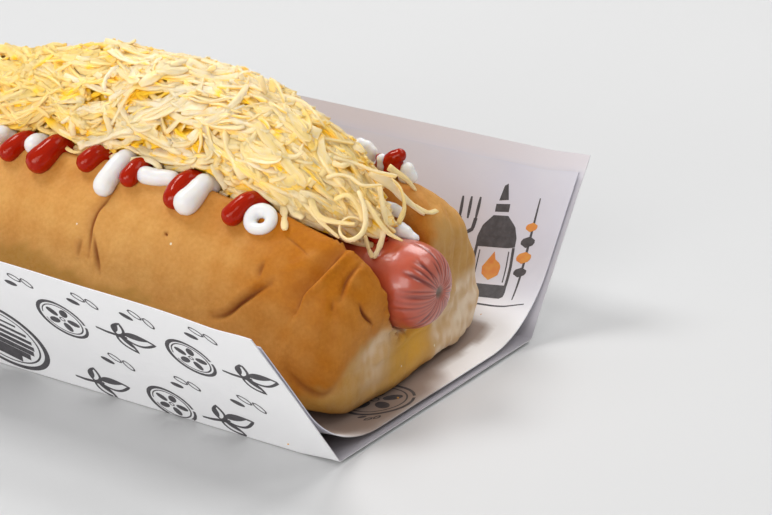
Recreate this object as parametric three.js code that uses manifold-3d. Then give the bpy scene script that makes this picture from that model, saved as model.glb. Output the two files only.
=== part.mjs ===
import * as THREE from 'three';
import { mergeVertices } from 'three/addons/utils/BufferGeometryUtils.js';
import Module from 'manifold-3d';

// A dressed hot dog in an open two-ply paper tray: a soft bun slit along its top, a cooked
// sausage in the slit, ketchup and mayonnaise zigzagged over the lips, and a heap of grated
// cheese on top.
// Millimetres. +X runs along the bun, +Y goes across it, +Z is up. The origin is under the
// middle of the tray, on the surface that it stands on.

// ------------------------------------------------------------------ driving dimensions

const GAP = 0.4; // clear space kept between two pieces that rest on each other
const SLIVER = 0.2; // faces narrower than this are merged into their neighbours after fusing

const TRAY = {
  halfLength: 100.5,
  halfFloor: 48.2, // from the middle to the sharp fold
  wall: 56.8, // slant height of a side wall
  ply: 0.5,
  foldRadius: 1.2,
  flareBack: 36.1, // degrees from upright
  flareFront: [31.2, 36.1], // at mid length, where it is drawn in, and at the ends
  endLean: { front: 3.4, back: 1.4 }, // the ends of the walls slope in towards their tops
  endLift: 0.9, // the floor's free ends lift off the table by this much
};

const LINER = {
  bendRadius: 40, // it is bent into the tray, not folded
  below: 6.5, // its top edge stops this far below the tray's
  inset: 1.2, // its ends stop this far inside the tray's
  endLift: 1.7,
};

const SAUSAGE = {
  left: -95,
  right: 100.3,
  radius: 11.85,
  swell: 0.45, // where it comes out of the bun
  axisHeight: 32,
  sides: 40,
  wrinkleDepth: 0.05,
};

const BUN = {
  left: -88,
  right: 90,
  middle: 3.5, // the loaf sits a little to the back of the sausage
  halfWidth: 42,
  underside: 2.4,
  lip: 55, // height of the lips at mid length
  lipFall: 6.5, // how much lower they are at the ends
  frontLip: -18,
  backLip: 20,
  slit: 12.5, // radius of the bed that the sausage lies in
  endRadius: { crest: 14, side: 11, foot: 5, mouth: 3.5 },
  endSkew: 0.1,
};

// Creases pressed into the front of the bun, each a run of [along, up] points.
const CREASES = [
  { depth: 1.3, width: 3.2, run: [[5, 51], [7, 45], [7, 40], [9, 35], [12, 30]] },
  { depth: 2.2, width: 3.6, run: [[52, 27], [58, 30], [64, 35], [67, 39], [65, 43]] },
  { depth: 2.8, width: 3.2, run: [[77, 31], [77, 37], [79, 42], [81, 46], [82, 50]] },
];

// The two sauces are piped in zigzags. Only their turns show, beyond the edges of the cheese.
const SAUCE = {
  ketchupTurns: [-76, -62, -46, -29, -17, -0.5, 13.8, 31, 50],
  mayonnaiseTurns: [-69, -54, -38, -23, 5.4, 22, 38],
  ring: 57, // one mayonnaise turn closed on itself
  turnLength: 7.2,
  turnWidth: 5,
  turnHeight: 3,
  outward: 3.4, // from the crest of the lip to the middle of a turn
};

const HEAP = {
  crest: [[-90, 50], [-84, 58], [-72, 66], [-54, 72.5], [-25, 79], [8, 81.5], [36, 79.5],
    [54, 74], [68, 65], [80, 57.5], [90, 50]],
  front: -15.3,
  back: 21.5,
  end: 8, // half width at its two ends
  left: -86,
  right: 90,
  stations: 14,
  roughness: 1.6,
  steepness: 1.05, // 1 is an ellipse, more is a sharper ridge
};

const SHREDS = {
  count: 48,
  length: [18, 38],
  width: 1.9,
  thickness: 1.2,
  steps: 5,
};

const COLOURS = {
  paper: 0xe9e7e8,
  liner: 0xdcd5da,
  bun: 0xd49a52,
  sausage: 0xc4705c,
  cheese: 0xf2d98a,
};

// ------------------------------------------------------------------ shared geometry

const wasm = await Module();
wasm.setup();

const { clamp, degToRad, lerp, smoothstep } = THREE.MathUtils;

/** Repeatable random numbers from 0 to 1. */
function randomFrom(seed) {
  let state = seed;
  return () => {
    state = (state * 1664525 + 1013904223) % 4294967296;
    return state / 4294967296;
  };
}

/** Stations from a to b, closer together near both ends. */
function stations(a, b, count, crowding) {
  return Array.from({ length: count }, (_, i) => {
    const t = (2 * i) / (count - 1) - 1;
    const spread = Math.sign(t) * (1 - (1 - Math.abs(t)) ** crowding);
    return lerp(a, b, (spread + 1) / 2);
  });
}

/** Triangles that close a ring of points lying across the X axis. */
function capFaces(ring, offset, facing) {
  const outline = ring.map((p) => new THREE.Vector2(p.y, p.z));
  return THREE.ShapeUtils.triangulateShape(outline, []).flatMap(([a, b, c]) => {
    const ab = outline[b].clone().sub(outline[a]);
    const ac = outline[c].clone().sub(outline[a]);
    const order = ab.cross(ac) * facing > 0 ? [a, b, c] : [a, c, b];
    return order.map((i) => i + offset);
  });
}

/** Closed skin over rings of equally many points, each counter-clockwise seen from +X. */
function loft(rings) {
  const size = rings[0].length;
  const last = (rings.length - 1) * size;
  const index = [];
  for (let start = 0; start < last; start += size) {
    for (let j = 0; j < size; j++) {
      const a = start + j;
      const b = start + ((j + 1) % size);
      index.push(a, b, a + size, b, b + size, a + size);
    }
  }
  index.push(...capFaces(rings[0], 0, -1), ...capFaces(rings.at(-1), last, 1));
  const geometry = new THREE.BufferGeometry().setFromPoints(rings.flat());
  geometry.setIndex(index);
  return geometry;
}

/** The shape's bare skin, with the points that its faces share merged. */
function skin(geometry) {
  const bare = geometry.clone();
  bare.deleteAttribute('normal');
  bare.deleteAttribute('uv');
  return mergeVertices(bare, 1e-4);
}

/** The same closed shape with its skin moved outwards. */
function grown(geometry, amount) {
  const wide = skin(geometry);
  wide.computeVertexNormals();
  const place = new THREE.Vector3();
  const normal = new THREE.Vector3();
  for (let i = 0; i < wide.attributes.position.count; i++) {
    place.fromBufferAttribute(wide.attributes.position, i);
    normal.fromBufferAttribute(wide.attributes.normal, i);
    place.addScaledVector(normal, amount);
    wide.attributes.position.setXYZ(i, place.x, place.y, place.z);
  }
  return wide;
}

function toManifold(geometry) {
  const { attributes, index } = skin(geometry);
  return new wasm.Manifold(new wasm.Mesh({
    numProp: 3,
    vertProperties: Float32Array.from(attributes.position.array),
    triVerts: Uint32Array.from(index.array),
  }));
}

/** The largest connected body, without loose scraps and sealed bubbles, as a geometry. */
function largestBody(solid) {
  const body = solid.decompose().reduce((a, b) => (b.volume() > a.volume() ? b : a));
  const { vertProperties, triVerts } = body.getMesh();
  const geometry = new THREE.BufferGeometry();
  geometry.setAttribute('position', new THREE.BufferAttribute(vertProperties, 3));
  geometry.setIndex(new THREE.BufferAttribute(triVerts, 1));
  return geometry;
}

function fuse(geometries) {
  return wasm.Manifold.union(geometries.map(toManifold));
}

/** How far a round edge of this radius has dropped at a distance from its end. */
function edgeDrop(distance, radius) {
  const inside = clamp(radius - distance, 0, radius);
  return radius - Math.sqrt(radius ** 2 - inside ** 2);
}

// ------------------------------------------------------------------ paper tray and liner

/** Lean of the front wall: drawn in at mid length, wide at the ends. */
function frontFlare(x) {
  const [middle, end] = TRAY.flareFront;
  return lerp(middle, end, Math.abs(x / TRAY.halfLength) ** 2.2);
}

function floorLift(x, lift) {
  return lift * smoothstep(Math.abs(x), 86, TRAY.halfLength);
}

/**
 * Points across one half of a folded sheet, from the middle of its floor to its top edge, as
 * [out, up]. The face lies `offset` inside the sheet's outer face.
 */
function halfProfile(flare, wall, bend, offset) {
  const slope = degToRad(90 - flare);
  const tangent = bend * Math.tan(slope / 2);
  const radius = bend - offset;
  const centre = new THREE.Vector2(TRAY.halfFloor - tangent, bend);
  const bendSteps = bend > 10 ? 5 : 2;
  const points = [new THREE.Vector2(0, offset)];
  for (let i = 0; i <= bendSteps; i++) {
    const turn = (slope * i) / bendSteps;
    const spoke = new THREE.Vector2(Math.sin(turn), -Math.cos(turn));
    points.push(centre.clone().addScaledVector(spoke, radius));
  }
  const along = new THREE.Vector2(Math.cos(slope), Math.sin(slope));
  points.push(points.at(-1).clone().addScaledVector(along, wall - tangent));
  return points;
}

/** One face of a sheet, from its front top edge to its back top edge. */
function sheetFace(x, wall, bend, offset, lift) {
  const front = halfProfile(frontFlare(x), wall, bend, offset);
  const back = halfProfile(TRAY.flareBack, wall, bend, offset);
  const place = (side, lean) => (p) => {
    const inwards = (x / TRAY.halfLength) * lean * (p.y / TRAY.wall);
    return new THREE.Vector3(x - inwards, side * p.x, p.y + lift);
  };
  return [
    ...front.slice(1).reverse().map(place(-1, TRAY.endLean.front)),
    ...back.map(place(1, TRAY.endLean.back)),
  ];
}

/** A sheet of paper folded or bent up along both sides. */
function sheetGeometry({ halfLength, wall, bend, under, lift, count }) {
  const rings = stations(-halfLength, halfLength, count, 1.6).map((x) => {
    const rise = floorLift(x, lift);
    const outside = sheetFace(x, wall, bend, under, rise);
    const inside = sheetFace(x, wall, bend, under + TRAY.ply, rise);
    return [...outside, ...inside.reverse()];
  });
  return loft(rings);
}

function trayGeometry() {
  return sheetGeometry({
    halfLength: TRAY.halfLength,
    wall: TRAY.wall,
    bend: TRAY.foldRadius,
    under: 0,
    lift: TRAY.endLift,
    count: 11,
  });
}

function linerGeometry() {
  return sheetGeometry({
    halfLength: TRAY.halfLength - LINER.inset,
    wall: TRAY.wall - LINER.below,
    bend: LINER.bendRadius,
    under: TRAY.ply + 1.5 * GAP,
    lift: TRAY.endLift + LINER.endLift,
    count: 11,
  });
}

// ------------------------------------------------------------------ bun

/** Height of the lips: highest at mid length, with the waviness of a torn-open bun. */
function lipHeight(x) {
  const fall = BUN.lipFall * smoothstep(Math.abs(x), 26, 86);
  return BUN.lip - fall + 0.6 * Math.sin(x / 9 + 1) + 0.3 * Math.sin(x / 4.3);
}

function creaseDepth(x, z) {
  const place = new THREE.Vector3(x, z, 0);
  const nearest = new THREE.Vector3();
  return CREASES.reduce((sum, { depth, width, run }) => {
    const points = run.map(([along, up]) => new THREE.Vector3(along, up, 0));
    const distances = points.slice(1).map((end, i) => {
      new THREE.Line3(points[i], end).closestPointToPoint(place, true, nearest);
      return nearest.distanceTo(place);
    });
    return sum + depth * Math.exp(-((Math.min(...distances) / width) ** 2));
  }, 0);
}

/** The bun's U-shaped outline across the station x, rounded off towards both ends. */
function bunSection(x) {
  const toEnd = x > 0 ? BUN.right - x : x - BUN.left;
  const crest = edgeDrop(toEnd, BUN.endRadius.crest);
  const side = edgeDrop(toEnd, BUN.endRadius.side);
  const foot = edgeDrop(toEnd, BUN.endRadius.foot);
  const mouth = edgeDrop(toEnd, BUN.endRadius.mouth);
  const top = lipHeight(x);
  const base = BUN.underside;
  const waist = SAUSAGE.axisHeight - 2 - 0.3 * crest;
  const swell = 0.7 * Math.sin(x / 17 + 2) + 0.4 * Math.sin(x / 7.1);

  // [out from the loaf's middle, up, samples to the next point], from the foot to the lip
  const outer = [
    [0.4, base + foot, 1],
    [0.76, base + 0.6 + foot, 1],
    [0.94, lerp(base, top, 0.09) + 0.6 * foot, 2],
    [1, lerp(base, top, 0.29), 2],
    [0.95, lerp(base, top, 0.53) - 0.25 * crest, 2],
    [0.8, lerp(base, top, 0.79) - 0.55 * crest, 2],
    [0.62, lerp(base, top, 0.935) - 0.85 * crest, 2],
  ];
  // [out from the sausage's axis, up, samples to the next point], from the lip to the bed
  const reach = (share) => lerp(waist, top - crest, share);
  const inner = [
    [14.8 + 0.5 * mouth, reach(0.8), 1],
    [13 + 0.8 * mouth, reach(0.4), 1],
    [BUN.slit - 0.2 + 0.9 * mouth, waist, 1],
    [BUN.slit * 0.71 + 0.6 * mouth, SAUSAGE.axisHeight - BUN.slit * 0.71 - 0.6 * mouth, 2],
  ];
  const half = (s) => {
    const lipOut = s < 0 ? -BUN.frontLip : BUN.backLip;
    const drawnIn = [0, 0.5, 0.95, 1, 0.95, 0.7, 0.35];
    return [
      ...outer.map(([share, up, samples], i) => {
        const out = share * (BUN.halfWidth + swell) - drawnIn[i] * side;
        return [BUN.middle + s * out, up, samples];
      }),
      [s * (lipOut + 0.4 * mouth), top - crest, 1],
      ...inner.map(([out, up, samples]) => [s * out, up, samples]),
    ];
  };
  const back = half(1);
  const front = half(-1).reverse();
  const bed = [0, SAUSAGE.axisHeight - BUN.slit - mouth, 2];
  const control = [[BUN.middle, base + foot, 1], ...back, bed, ...front];
  // On the way down the front, a segment's samples belong to the point that it leads to.
  const samples = control.map(([, , count], i) => (
    i < back.length + 1 ? count : control[(i + 1) % control.length][2]
  ));
  // The back half of the loaf ends a little short of the front half.
  const points = control.map(([y, z]) => {
    const skew = BUN.endSkew * Math.max(y, 0) * smoothstep(x, 60, BUN.right);
    return new THREE.Vector3(x - skew, y, z);
  });
  const curve = new THREE.CatmullRomCurve3(points, true, 'centripetal');
  return samples.flatMap((count, i) => (
    Array.from({ length: count }, (_, k) => curve.getPoint((i + k / count) / samples.length))
  ));
}

function bunGeometry() {
  const rings = stations(BUN.left, BUN.right, 31, 2.1).map((x) => (
    bunSection(x).map((p) => {
      const onFront = smoothstep(-p.y, 16, 24);
      const inwards = new THREE.Vector3(0, BUN.middle - p.y, 20 - p.z).normalize();
      return p.addScaledVector(inwards, onFront * creaseDepth(p.x, p.z));
    })
  ));
  return loft(rings);
}

/** One turn of piped sauce lying over a lip, on the front (-1) or the back (1). */
function sauceTurn(x, s, size) {
  const turn = new THREE.SphereGeometry(1, 6, 5);
  turn.scale(SAUCE.turnWidth * size, SAUCE.turnLength * size, SAUCE.turnHeight);
  turn.rotateX(-s * 0.55);
  const crest = s < 0 ? BUN.frontLip : BUN.backLip;
  turn.translate(x, crest + s * SAUCE.outward, lipHeight(x) - 0.6);
  return turn;
}

function sauceRing(x) {
  const ring = new THREE.TorusGeometry(4.2, 2.3, 5, 10);
  ring.rotateX(0.6);
  ring.translate(x, BUN.frontLip - 4.2, lipHeight(x) - 0.9);
  return ring;
}

/** Every turn that shows on both lips. A zigzag turns at the back half way between two fronts. */
function sauceGeometries() {
  const random = randomFrom(11);
  return [SAUCE.ketchupTurns, SAUCE.mayonnaiseTurns].flatMap((turns) => {
    const backTurns = turns.map((x, i) => (x + (turns[i + 1] ?? x + 42)) / 2);
    return [
      ...turns.map((x) => sauceTurn(x, -1, 0.8 + 0.3 * random())),
      ...backTurns.map((x) => sauceTurn(x, 1, 0.75 + 0.25 * random())),
    ];
  }).concat(sauceRing(SAUCE.ring));
}

// ------------------------------------------------------------------ sausage

function sausageGeometry() {
  const { left, right, radius, swell, axisHeight, sides, wrinkleDepth } = SAUSAGE;
  const random = randomFrom(5);
  const wrinkles = Array.from({ length: sides / 4 }, () => wrinkleDepth * (0.5 + random()));
  // Share of the radius at [distance from the tip], where the casing is gathered to a pucker.
  const dome = [[0.9, 0.12], [0, 0.26], [1.1, 0.52], [3.2, 0.75], [6.4, 0.93], [12, 1], [17, 1]];
  const end = (tip, direction) => dome.map(([inwards, share]) => [tip - direction * inwards, share]);
  const straight = [-50, 0, 50].map((x) => [x, 1]);
  const outline = [...end(left, -1), ...straight, ...end(right, 1).reverse()];
  return loft(outline.map(([x, share]) => {
    const body = radius + swell * smoothstep(x, 86, 92);
    const gathered = Math.sin(Math.PI * clamp(share, 0, 1)) ** 0.5;
    return Array.from({ length: sides }, (_, j) => {
      const angle = (2 * Math.PI * j) / sides;
      const groove = j % 4 === 0 ? wrinkles[j / 4] * gathered : 0;
      const r = body * share * (1 - groove);
      return new THREE.Vector3(x, r * Math.cos(angle), axisHeight + r * Math.sin(angle));
    });
  }));
}

/** Sauce that has run down on to the sausage where the cheese ends. */
function sausageSauce() {
  const top = SAUSAGE.axisHeight + SAUSAGE.radius;
  const blobs = [
    { place: [84.5, 3.4, top + 0.2], size: [4.2, 2.6, 2.2] },
    { place: [88, 4.6, top - 0.9], size: [2, 1.7, 1.6] },
  ];
  return blobs.map(({ place, size }) => (
    new THREE.SphereGeometry(1, 6, 5).scale(...size).translate(...place)
  ));
}

// ------------------------------------------------------------------ grated cheese

const crestCurve = new THREE.CubicInterpolant(
  HEAP.crest.map(([x]) => x),
  HEAP.crest.map(([, z]) => z),
  1,
);

/** Height of the heap's underside, just clear of the top of the sausage. */
const heapBed = SAUSAGE.axisHeight + SAUSAGE.radius + 0.6;

/** Measures of the heap across the station x: its middle, half width, foot and top. */
function heapAt(x) {
  const toEnd = Math.min(x - HEAP.left, HEAP.right - x);
  const full = smoothstep(toEnd, 0, 22);
  const middle = lerp(0, (HEAP.front + HEAP.back) / 2, full);
  const half = lerp(HEAP.end, (HEAP.back - HEAP.front) / 2, full);
  const foot = lerp(heapBed + 1.5, lipHeight(x) - 3, smoothstep(toEnd, 2, 12));
  const top = Math.max(crestCurve.evaluate(x)[0], foot + 3);
  return { middle, half, foot, top };
}

/** A point on the heap, `angle` round from its front foot (0) to its back foot (pi). */
function heapPoint(x, angle, raise) {
  const { middle, half, foot, top } = heapAt(x);
  const out = new THREE.Vector3(0, -Math.cos(angle) * (top - foot), Math.sin(angle) * half);
  const up = Math.max(Math.sin(angle), 0) ** HEAP.steepness;
  return new THREE.Vector3(x, middle - half * Math.cos(angle), foot + (top - foot) * up)
    .addScaledVector(out.normalize(), raise);
}

function heapCore() {
  const random = randomFrom(23);
  const arcSteps = 9;
  return loft(stations(HEAP.left, HEAP.right, HEAP.stations, 1.3).map((x) => {
    const arc = Array.from({ length: arcSteps + 1 }, (_, k) => {
      const dent = k % arcSteps === 0 ? 0 : -HEAP.roughness * random();
      return heapPoint(x, Math.PI * (1 - k / arcSteps), dent);
    });
    const { half } = heapAt(x);
    const under = [[-1, 1.2], [0, 0], [1, 1.2]].map(([side, up]) => (
      new THREE.Vector3(x, side * Math.min(11.5, half - 1), heapBed + up)
    ));
    return [...arc, ...under];
  }));
}

/** One shred: a flat strip that wanders over the heap, half sunk in it. */
function shred(random) {
  const within = (a, b) => lerp(a, b, random());
  const margin = 3;
  const length = within(...SHREDS.length);
  let x = within(HEAP.left + margin, HEAP.right - margin);
  let angle = within(0.08, 0.92) * Math.PI;
  let heading = within(0, 2 * Math.PI);
  const curl = within(-1.1, 1.1);
  const points = [];
  for (let k = 0; k < 5; k++) {
    const raise = within(-0.4, 1.5);
    points.push(heapPoint(x, angle, raise));
    heading += curl * within(0.2, 1);
    const step = length / 4;
    x = clamp(x + step * Math.cos(heading), HEAP.left + margin, HEAP.right - margin);
    const around = heapAt(x).half * 1.35;
    angle = clamp(angle + (step * Math.sin(heading)) / around, 0.05, 0.95 * Math.PI);
  }
  const path = new THREE.CatmullRomCurve3(points, false, 'centripetal');
  const w = SHREDS.width / 2;
  const t = SHREDS.thickness / 2;
  const section = new THREE.Shape([[-t, -w], [t, -w], [t, w], [-t, w]]
    .map(([a, b]) => new THREE.Vector2(a, b)));
  return new THREE.ExtrudeGeometry(section, { steps: SHREDS.steps, extrudePath: path });
}

/** The heap, trimmed to lie on the bun, the sauces and the sausage without touching them. */
function cheeseGeometry(neighbours) {
  const random = randomFrom(41);
  const shreds = Array.from({ length: SHREDS.count }, () => shred(random));
  const heap = fuse([heapCore(), ...shreds]);
  const room = fuse(neighbours.map((geometry) => grown(geometry, GAP)));
  return largestBody(heap.subtract(room).simplify(SLIVER));
}

// ------------------------------------------------------------------ assembly

const bunParts = [bunGeometry(), ...sauceGeometries()];
const sausageParts = [sausageGeometry(), ...sausageSauce()];

const pieces = [
  ['paper_outer', trayGeometry(), COLOURS.paper, 0.8],
  ['paper_liner', linerGeometry(), COLOURS.liner, 0.75],
  ['bun', largestBody(fuse(bunParts).simplify(SLIVER)), COLOURS.bun, 0.6],
  ['sausage', largestBody(fuse(sausageParts)), COLOURS.sausage, 0.35],
  ['cheese', cheeseGeometry([...bunParts, ...sausageParts]), COLOURS.cheese, 0.5],
];

const hotDog = new THREE.Group();
for (const [name, geometry, color, roughness] of pieces) {
  const material = new THREE.MeshStandardMaterial({ color, roughness, metalness: 0 });
  const mesh = new THREE.Mesh(geometry, material);
  mesh.name = name;
  hotDog.add(mesh);
}

export default hotDog;
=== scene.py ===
import math
from dataclasses import dataclass

import bmesh
import bpy
import numpy as np
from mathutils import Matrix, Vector
from mathutils.bvhtree import BVHTree


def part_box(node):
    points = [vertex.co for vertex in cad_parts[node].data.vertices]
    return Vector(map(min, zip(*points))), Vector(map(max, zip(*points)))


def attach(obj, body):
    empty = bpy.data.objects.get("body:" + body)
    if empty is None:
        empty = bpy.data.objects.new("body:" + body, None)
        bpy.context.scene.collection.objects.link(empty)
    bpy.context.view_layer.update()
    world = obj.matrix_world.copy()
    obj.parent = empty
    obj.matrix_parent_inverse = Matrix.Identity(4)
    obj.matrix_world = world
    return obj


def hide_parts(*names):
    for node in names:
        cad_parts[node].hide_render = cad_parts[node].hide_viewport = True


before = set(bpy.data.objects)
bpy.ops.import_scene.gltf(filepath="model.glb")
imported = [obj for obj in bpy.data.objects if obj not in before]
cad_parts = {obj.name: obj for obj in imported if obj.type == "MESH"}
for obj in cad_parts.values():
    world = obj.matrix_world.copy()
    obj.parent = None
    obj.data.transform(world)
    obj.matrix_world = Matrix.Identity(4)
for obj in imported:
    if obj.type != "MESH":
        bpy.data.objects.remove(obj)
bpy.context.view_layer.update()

# ---------------------------------------------------------------- table, light and camera
# A seamless pale table top in a bright room. Three large soft lamps hang above it, behind, to
# the left and to the right, and two at the front lift the shadows.

MM = 0.001


def add_node(tree, kind, inputs=None, **settings):
    """A shader node. Each input is a plain value or the socket that feeds it."""
    node = tree.nodes.new("ShaderNode" + kind)
    for name, value in settings.items():
        setattr(node, name, value)
    for name, value in (inputs or {}).items():
        if isinstance(value, bpy.types.NodeSocket):
            tree.links.new(value, node.inputs[name])
        else:
            node.inputs[name].default_value = value
    return node


def new_finish(name, roughness, **shader_inputs):
    """A material, its node tree and its Principled shader."""
    material = bpy.data.materials.new(name)
    material.use_nodes = True
    tree = material.node_tree
    shader = tree.nodes["Principled BSDF"]
    shader.inputs["Roughness"].default_value = roughness
    for socket, value in shader_inputs.items():
        shader.inputs[socket.replace("_", " ")].default_value = value
    return material, tree, shader


def mix_colours(tree, share, first, second):
    """The socket of a colour between two others."""
    mix = tree.nodes.new("ShaderNodeMix")
    mix.data_type = "RGBA"
    for number, value in ((0, share), (6, first), (7, second)):
        if isinstance(value, bpy.types.NodeSocket):
            tree.links.new(value, mix.inputs[number])
        else:
            mix.inputs[number].default_value = value if number == 0 else (*value, 1)
    return mix.outputs[2]


def layered(tree, colour, *layers):
    """The socket of a colour with others laid over it, each by its share."""
    for share, over in layers:
        colour = mix_colours(tree, share, colour, over)
    return colour


def paint(tree, shader, colour):
    tree.links.new(colour, shader.inputs["Base Color"])


def new_group(name, inputs, outputs):
    """An empty node group with its named sockets, and its two end nodes."""
    group = bpy.data.node_groups.new(name, "ShaderNodeTree")
    for label, kind, value in inputs:
        socket = group.interface.new_socket(label, in_out="INPUT", socket_type="NodeSocket" + kind)
        if value is not None:
            socket.default_value = value
    for label, kind in outputs:
        group.interface.new_socket(label, in_out="OUTPUT", socket_type="NodeSocket" + kind)
    return group, group.nodes.new("NodeGroupInput"), group.nodes.new("NodeGroupOutput")


def use_group(tree, group, **inputs):
    """The socket of a node group's one output. The group is placed with its own values."""
    node = tree.nodes.new("ShaderNodeGroup")
    node.node_tree = group
    for label, value in inputs.items():
        node.inputs[label].default_value = value
    return node.outputs[0]


# Soft uneven patches of two sizes, as a share from 0 to 1.
patches, ends_in, ends_out = new_group(
    "uneven_patches",
    [("Size", "Float", 0.01), ("Contrast", "Float", 1.0), ("Seed", "Float", 0.0)],
    [("Share", "Float")],
)
place = add_node(patches, "TexCoord").outputs["Object"]
per_metre = add_node(patches, "Math", {0: 1.0, 1: ends_in.outputs["Size"]}, operation="DIVIDE")
noise = add_node(
    patches, "TexNoise",
    {"Vector": place, "W": ends_in.outputs["Seed"], "Scale": per_metre.outputs[0], "Detail": 4.0},
    noise_dimensions="4D",
)
centred = add_node(patches, "Math", {0: noise.outputs[0], 1: 0.5}, operation="SUBTRACT")
widened = add_node(
    patches, "Math",
    {0: centred.outputs[0], 1: ends_in.outputs["Contrast"], 2: 0.5},
    operation="MULTIPLY_ADD", use_clamp=True,
)
patches.links.new(widened.outputs[0], ends_out.inputs["Share"])

# Small round specks scattered one to a cell, as a mask.
specks, ends_in, ends_out = new_group(
    "scattered_specks",
    [("Spacing", "Float", 0.01), ("Share of cells", "Float", 0.3), ("Radius", "Float", 0.1)],
    [("Mask", "Float")],
)
place = add_node(specks, "TexCoord").outputs["Object"]
per_metre = add_node(specks, "Math", {0: 1.0, 1: ends_in.outputs["Spacing"]}, operation="DIVIDE")
cells = add_node(specks, "TexVoronoi", {"Vector": place, "Scale": per_metre.outputs[0]})
near = add_node(
    specks, "Math", {0: cells.outputs["Distance"], 1: ends_in.outputs["Radius"]}, operation="LESS_THAN"
)
draw = add_node(specks, "SeparateColor", {0: cells.outputs["Color"]})
chosen = add_node(
    specks, "Math", {0: draw.outputs[0], 1: ends_in.outputs["Share of cells"]}, operation="LESS_THAN"
)
both = add_node(specks, "Math", {0: near.outputs[0], 1: chosen.outputs[0]}, operation="MULTIPLY")
specks.links.new(both.outputs[0], ends_out.inputs["Mask"])


def add_relief(tree, shader, size, height, seed=0.0, below=None):
    """Bumps the surface with uneven grain of this size and height, in metres."""
    grain = use_group(tree, patches, Size=size, Contrast=1.6, Seed=seed)
    bump = add_node(tree, "Bump", {"Height": grain, "Distance": height, "Strength": 1.0})
    if below is not None:
        tree.links.new(below, bump.inputs["Normal"])
    tree.links.new(bump.outputs[0], shader.inputs["Normal"])
    return bump.outputs[0]


def two_shades(name, roughness, first, second, size, contrast, seed=0.0, **shader_inputs):
    """A finish of two close colours in uneven patches of this size, in metres."""
    material, tree, shader = new_finish(name, roughness, **shader_inputs)
    share = use_group(tree, patches, Size=size, Contrast=contrast, Seed=seed)
    paint(tree, shader, mix_colours(tree, share, first, second))
    return material, tree, shader


def new_piece(name, points, faces):
    """A mesh object from points in millimetres. A closed one gets its faces turned outwards."""
    points = np.asarray(points, float).reshape(-1, 3)
    if isinstance(faces, np.ndarray):
        a, b, c = (points[faces[:, k]] for k in (0, 1, 2))
        volume = np.einsum("ij,ij->i", a, np.cross(b, c)).sum()
        if faces.shape[1] == 4:
            d = points[faces[:, 3]]
            volume += np.einsum("ij,ij->i", a, np.cross(c, d)).sum()
        faces = (faces if volume > 0 else faces[:, ::-1]).tolist()
    mesh = bpy.data.meshes.new(name)
    mesh.from_pydata((points * MM).tolist(), [], faces)
    mesh.polygons.foreach_set("use_smooth", [True] * len(mesh.polygons))
    piece = bpy.data.objects.new(name, mesh)
    bpy.context.scene.collection.objects.link(piece)
    return piece


table_size = 6000
table_corners = [[x, y, 0] for x, y in ((-1, -1), (1, -1), (1, 1), (-1, 1))]
table = new_piece("table", table_corners * np.array([table_size, table_size, 1]), [[0, 1, 2, 3]])
table_top, tree, shader = two_shades(
    "pale_table", 0.65, (0.655, 0.655, 0.655), (0.67, 0.67, 0.67), size=0.15, contrast=1.2
)
add_relief(tree, shader, 0.002, 0.00001)
table.data.materials.append(table_top)

room_light = 0.28
room = bpy.data.worlds.new("room")
room.use_nodes = True
walls = room.node_tree.nodes["Background"]
walls.inputs["Color"].default_value = (1, 1, 1, 1)
walls.inputs["Strength"].default_value = room_light
bpy.context.scene.world = room

food_middle = Vector((0, 0, 0.04))


def hang_lamp(name, place, width, power):
    """A square soft white lamp, in metres and watts, that shines at the food."""
    lamp = bpy.data.lights.new(name, "AREA")
    lamp.size = width
    lamp.energy = power
    holder = bpy.data.objects.new(name, lamp)
    holder.location = place
    holder.rotation_euler = (food_middle - holder.location).to_track_quat("-Z", "Y").to_euler()
    bpy.context.scene.collection.objects.link(holder)


hang_lamp("back_lamp", (-0.1, 0.85, 1.1), 0.7, 7.6)
hang_lamp("left_lamp", (-0.7, -0.02, 1.2), 0.5, 7.8)
hang_lamp("right_lamp", (0.75, 0.5, 1.2), 0.7, 3.6)
hang_lamp("front_lamp", (0.45, -1.25, 0.7), 0.8, 6.2)
hang_lamp("low_lamp", (-0.2, -1.4, 0.15), 0.8, 9.8)

camera_place = Vector((0.4559, -0.5549, 0.3050))
camera_aim = Vector((0.0825, 0, 0.0382))
focal_length = 123.68
sensor_width = 36
lens = bpy.data.cameras.new("camera")
lens.lens = focal_length
lens.sensor_width = sensor_width
camera = bpy.data.objects.new("camera", lens)
camera.location = camera_place
camera.rotation_euler = (camera_aim - camera_place).to_track_quat("-Z", "Y").to_euler()
bpy.context.scene.collection.objects.link(camera)
bpy.context.scene.camera = camera
bpy.context.scene.view_settings.view_transform = "Standard"

# ---------------------------------------------------------------- paper tray
# One sheet of stiff white food paper, folded up sharply along both sides and open at both
# ends. The front wall is drawn in a little at mid length and its free ends lift off the table.

tray_high = np.array(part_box("paper_outer")[1]) / MM
half_length = tray_high[0]
wall = 56.8  # slant height
back_flare = 36.1  # degrees from upright
front_flare = (32.9, 36.1)  # at mid length and at the ends
half_floor = tray_high[1] - wall * math.sin(math.radians(back_flare))
end_lean = {-1: 3.4, 1: 1.4}  # the walls' ends slope in: front, back
cad_ply = 0.5
paper_thickness = 0.3
lifted_from = 86  # the free ends lift beyond this distance from mid length


def ramp(value, low, high):
    """0 below low, 1 above high, smooth between."""
    t = np.clip((value - low) / (high - low), 0, 1)
    return t * t * (3 - 2 * t)


def between(first, second, share):
    return first + (second - first) * share


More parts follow.
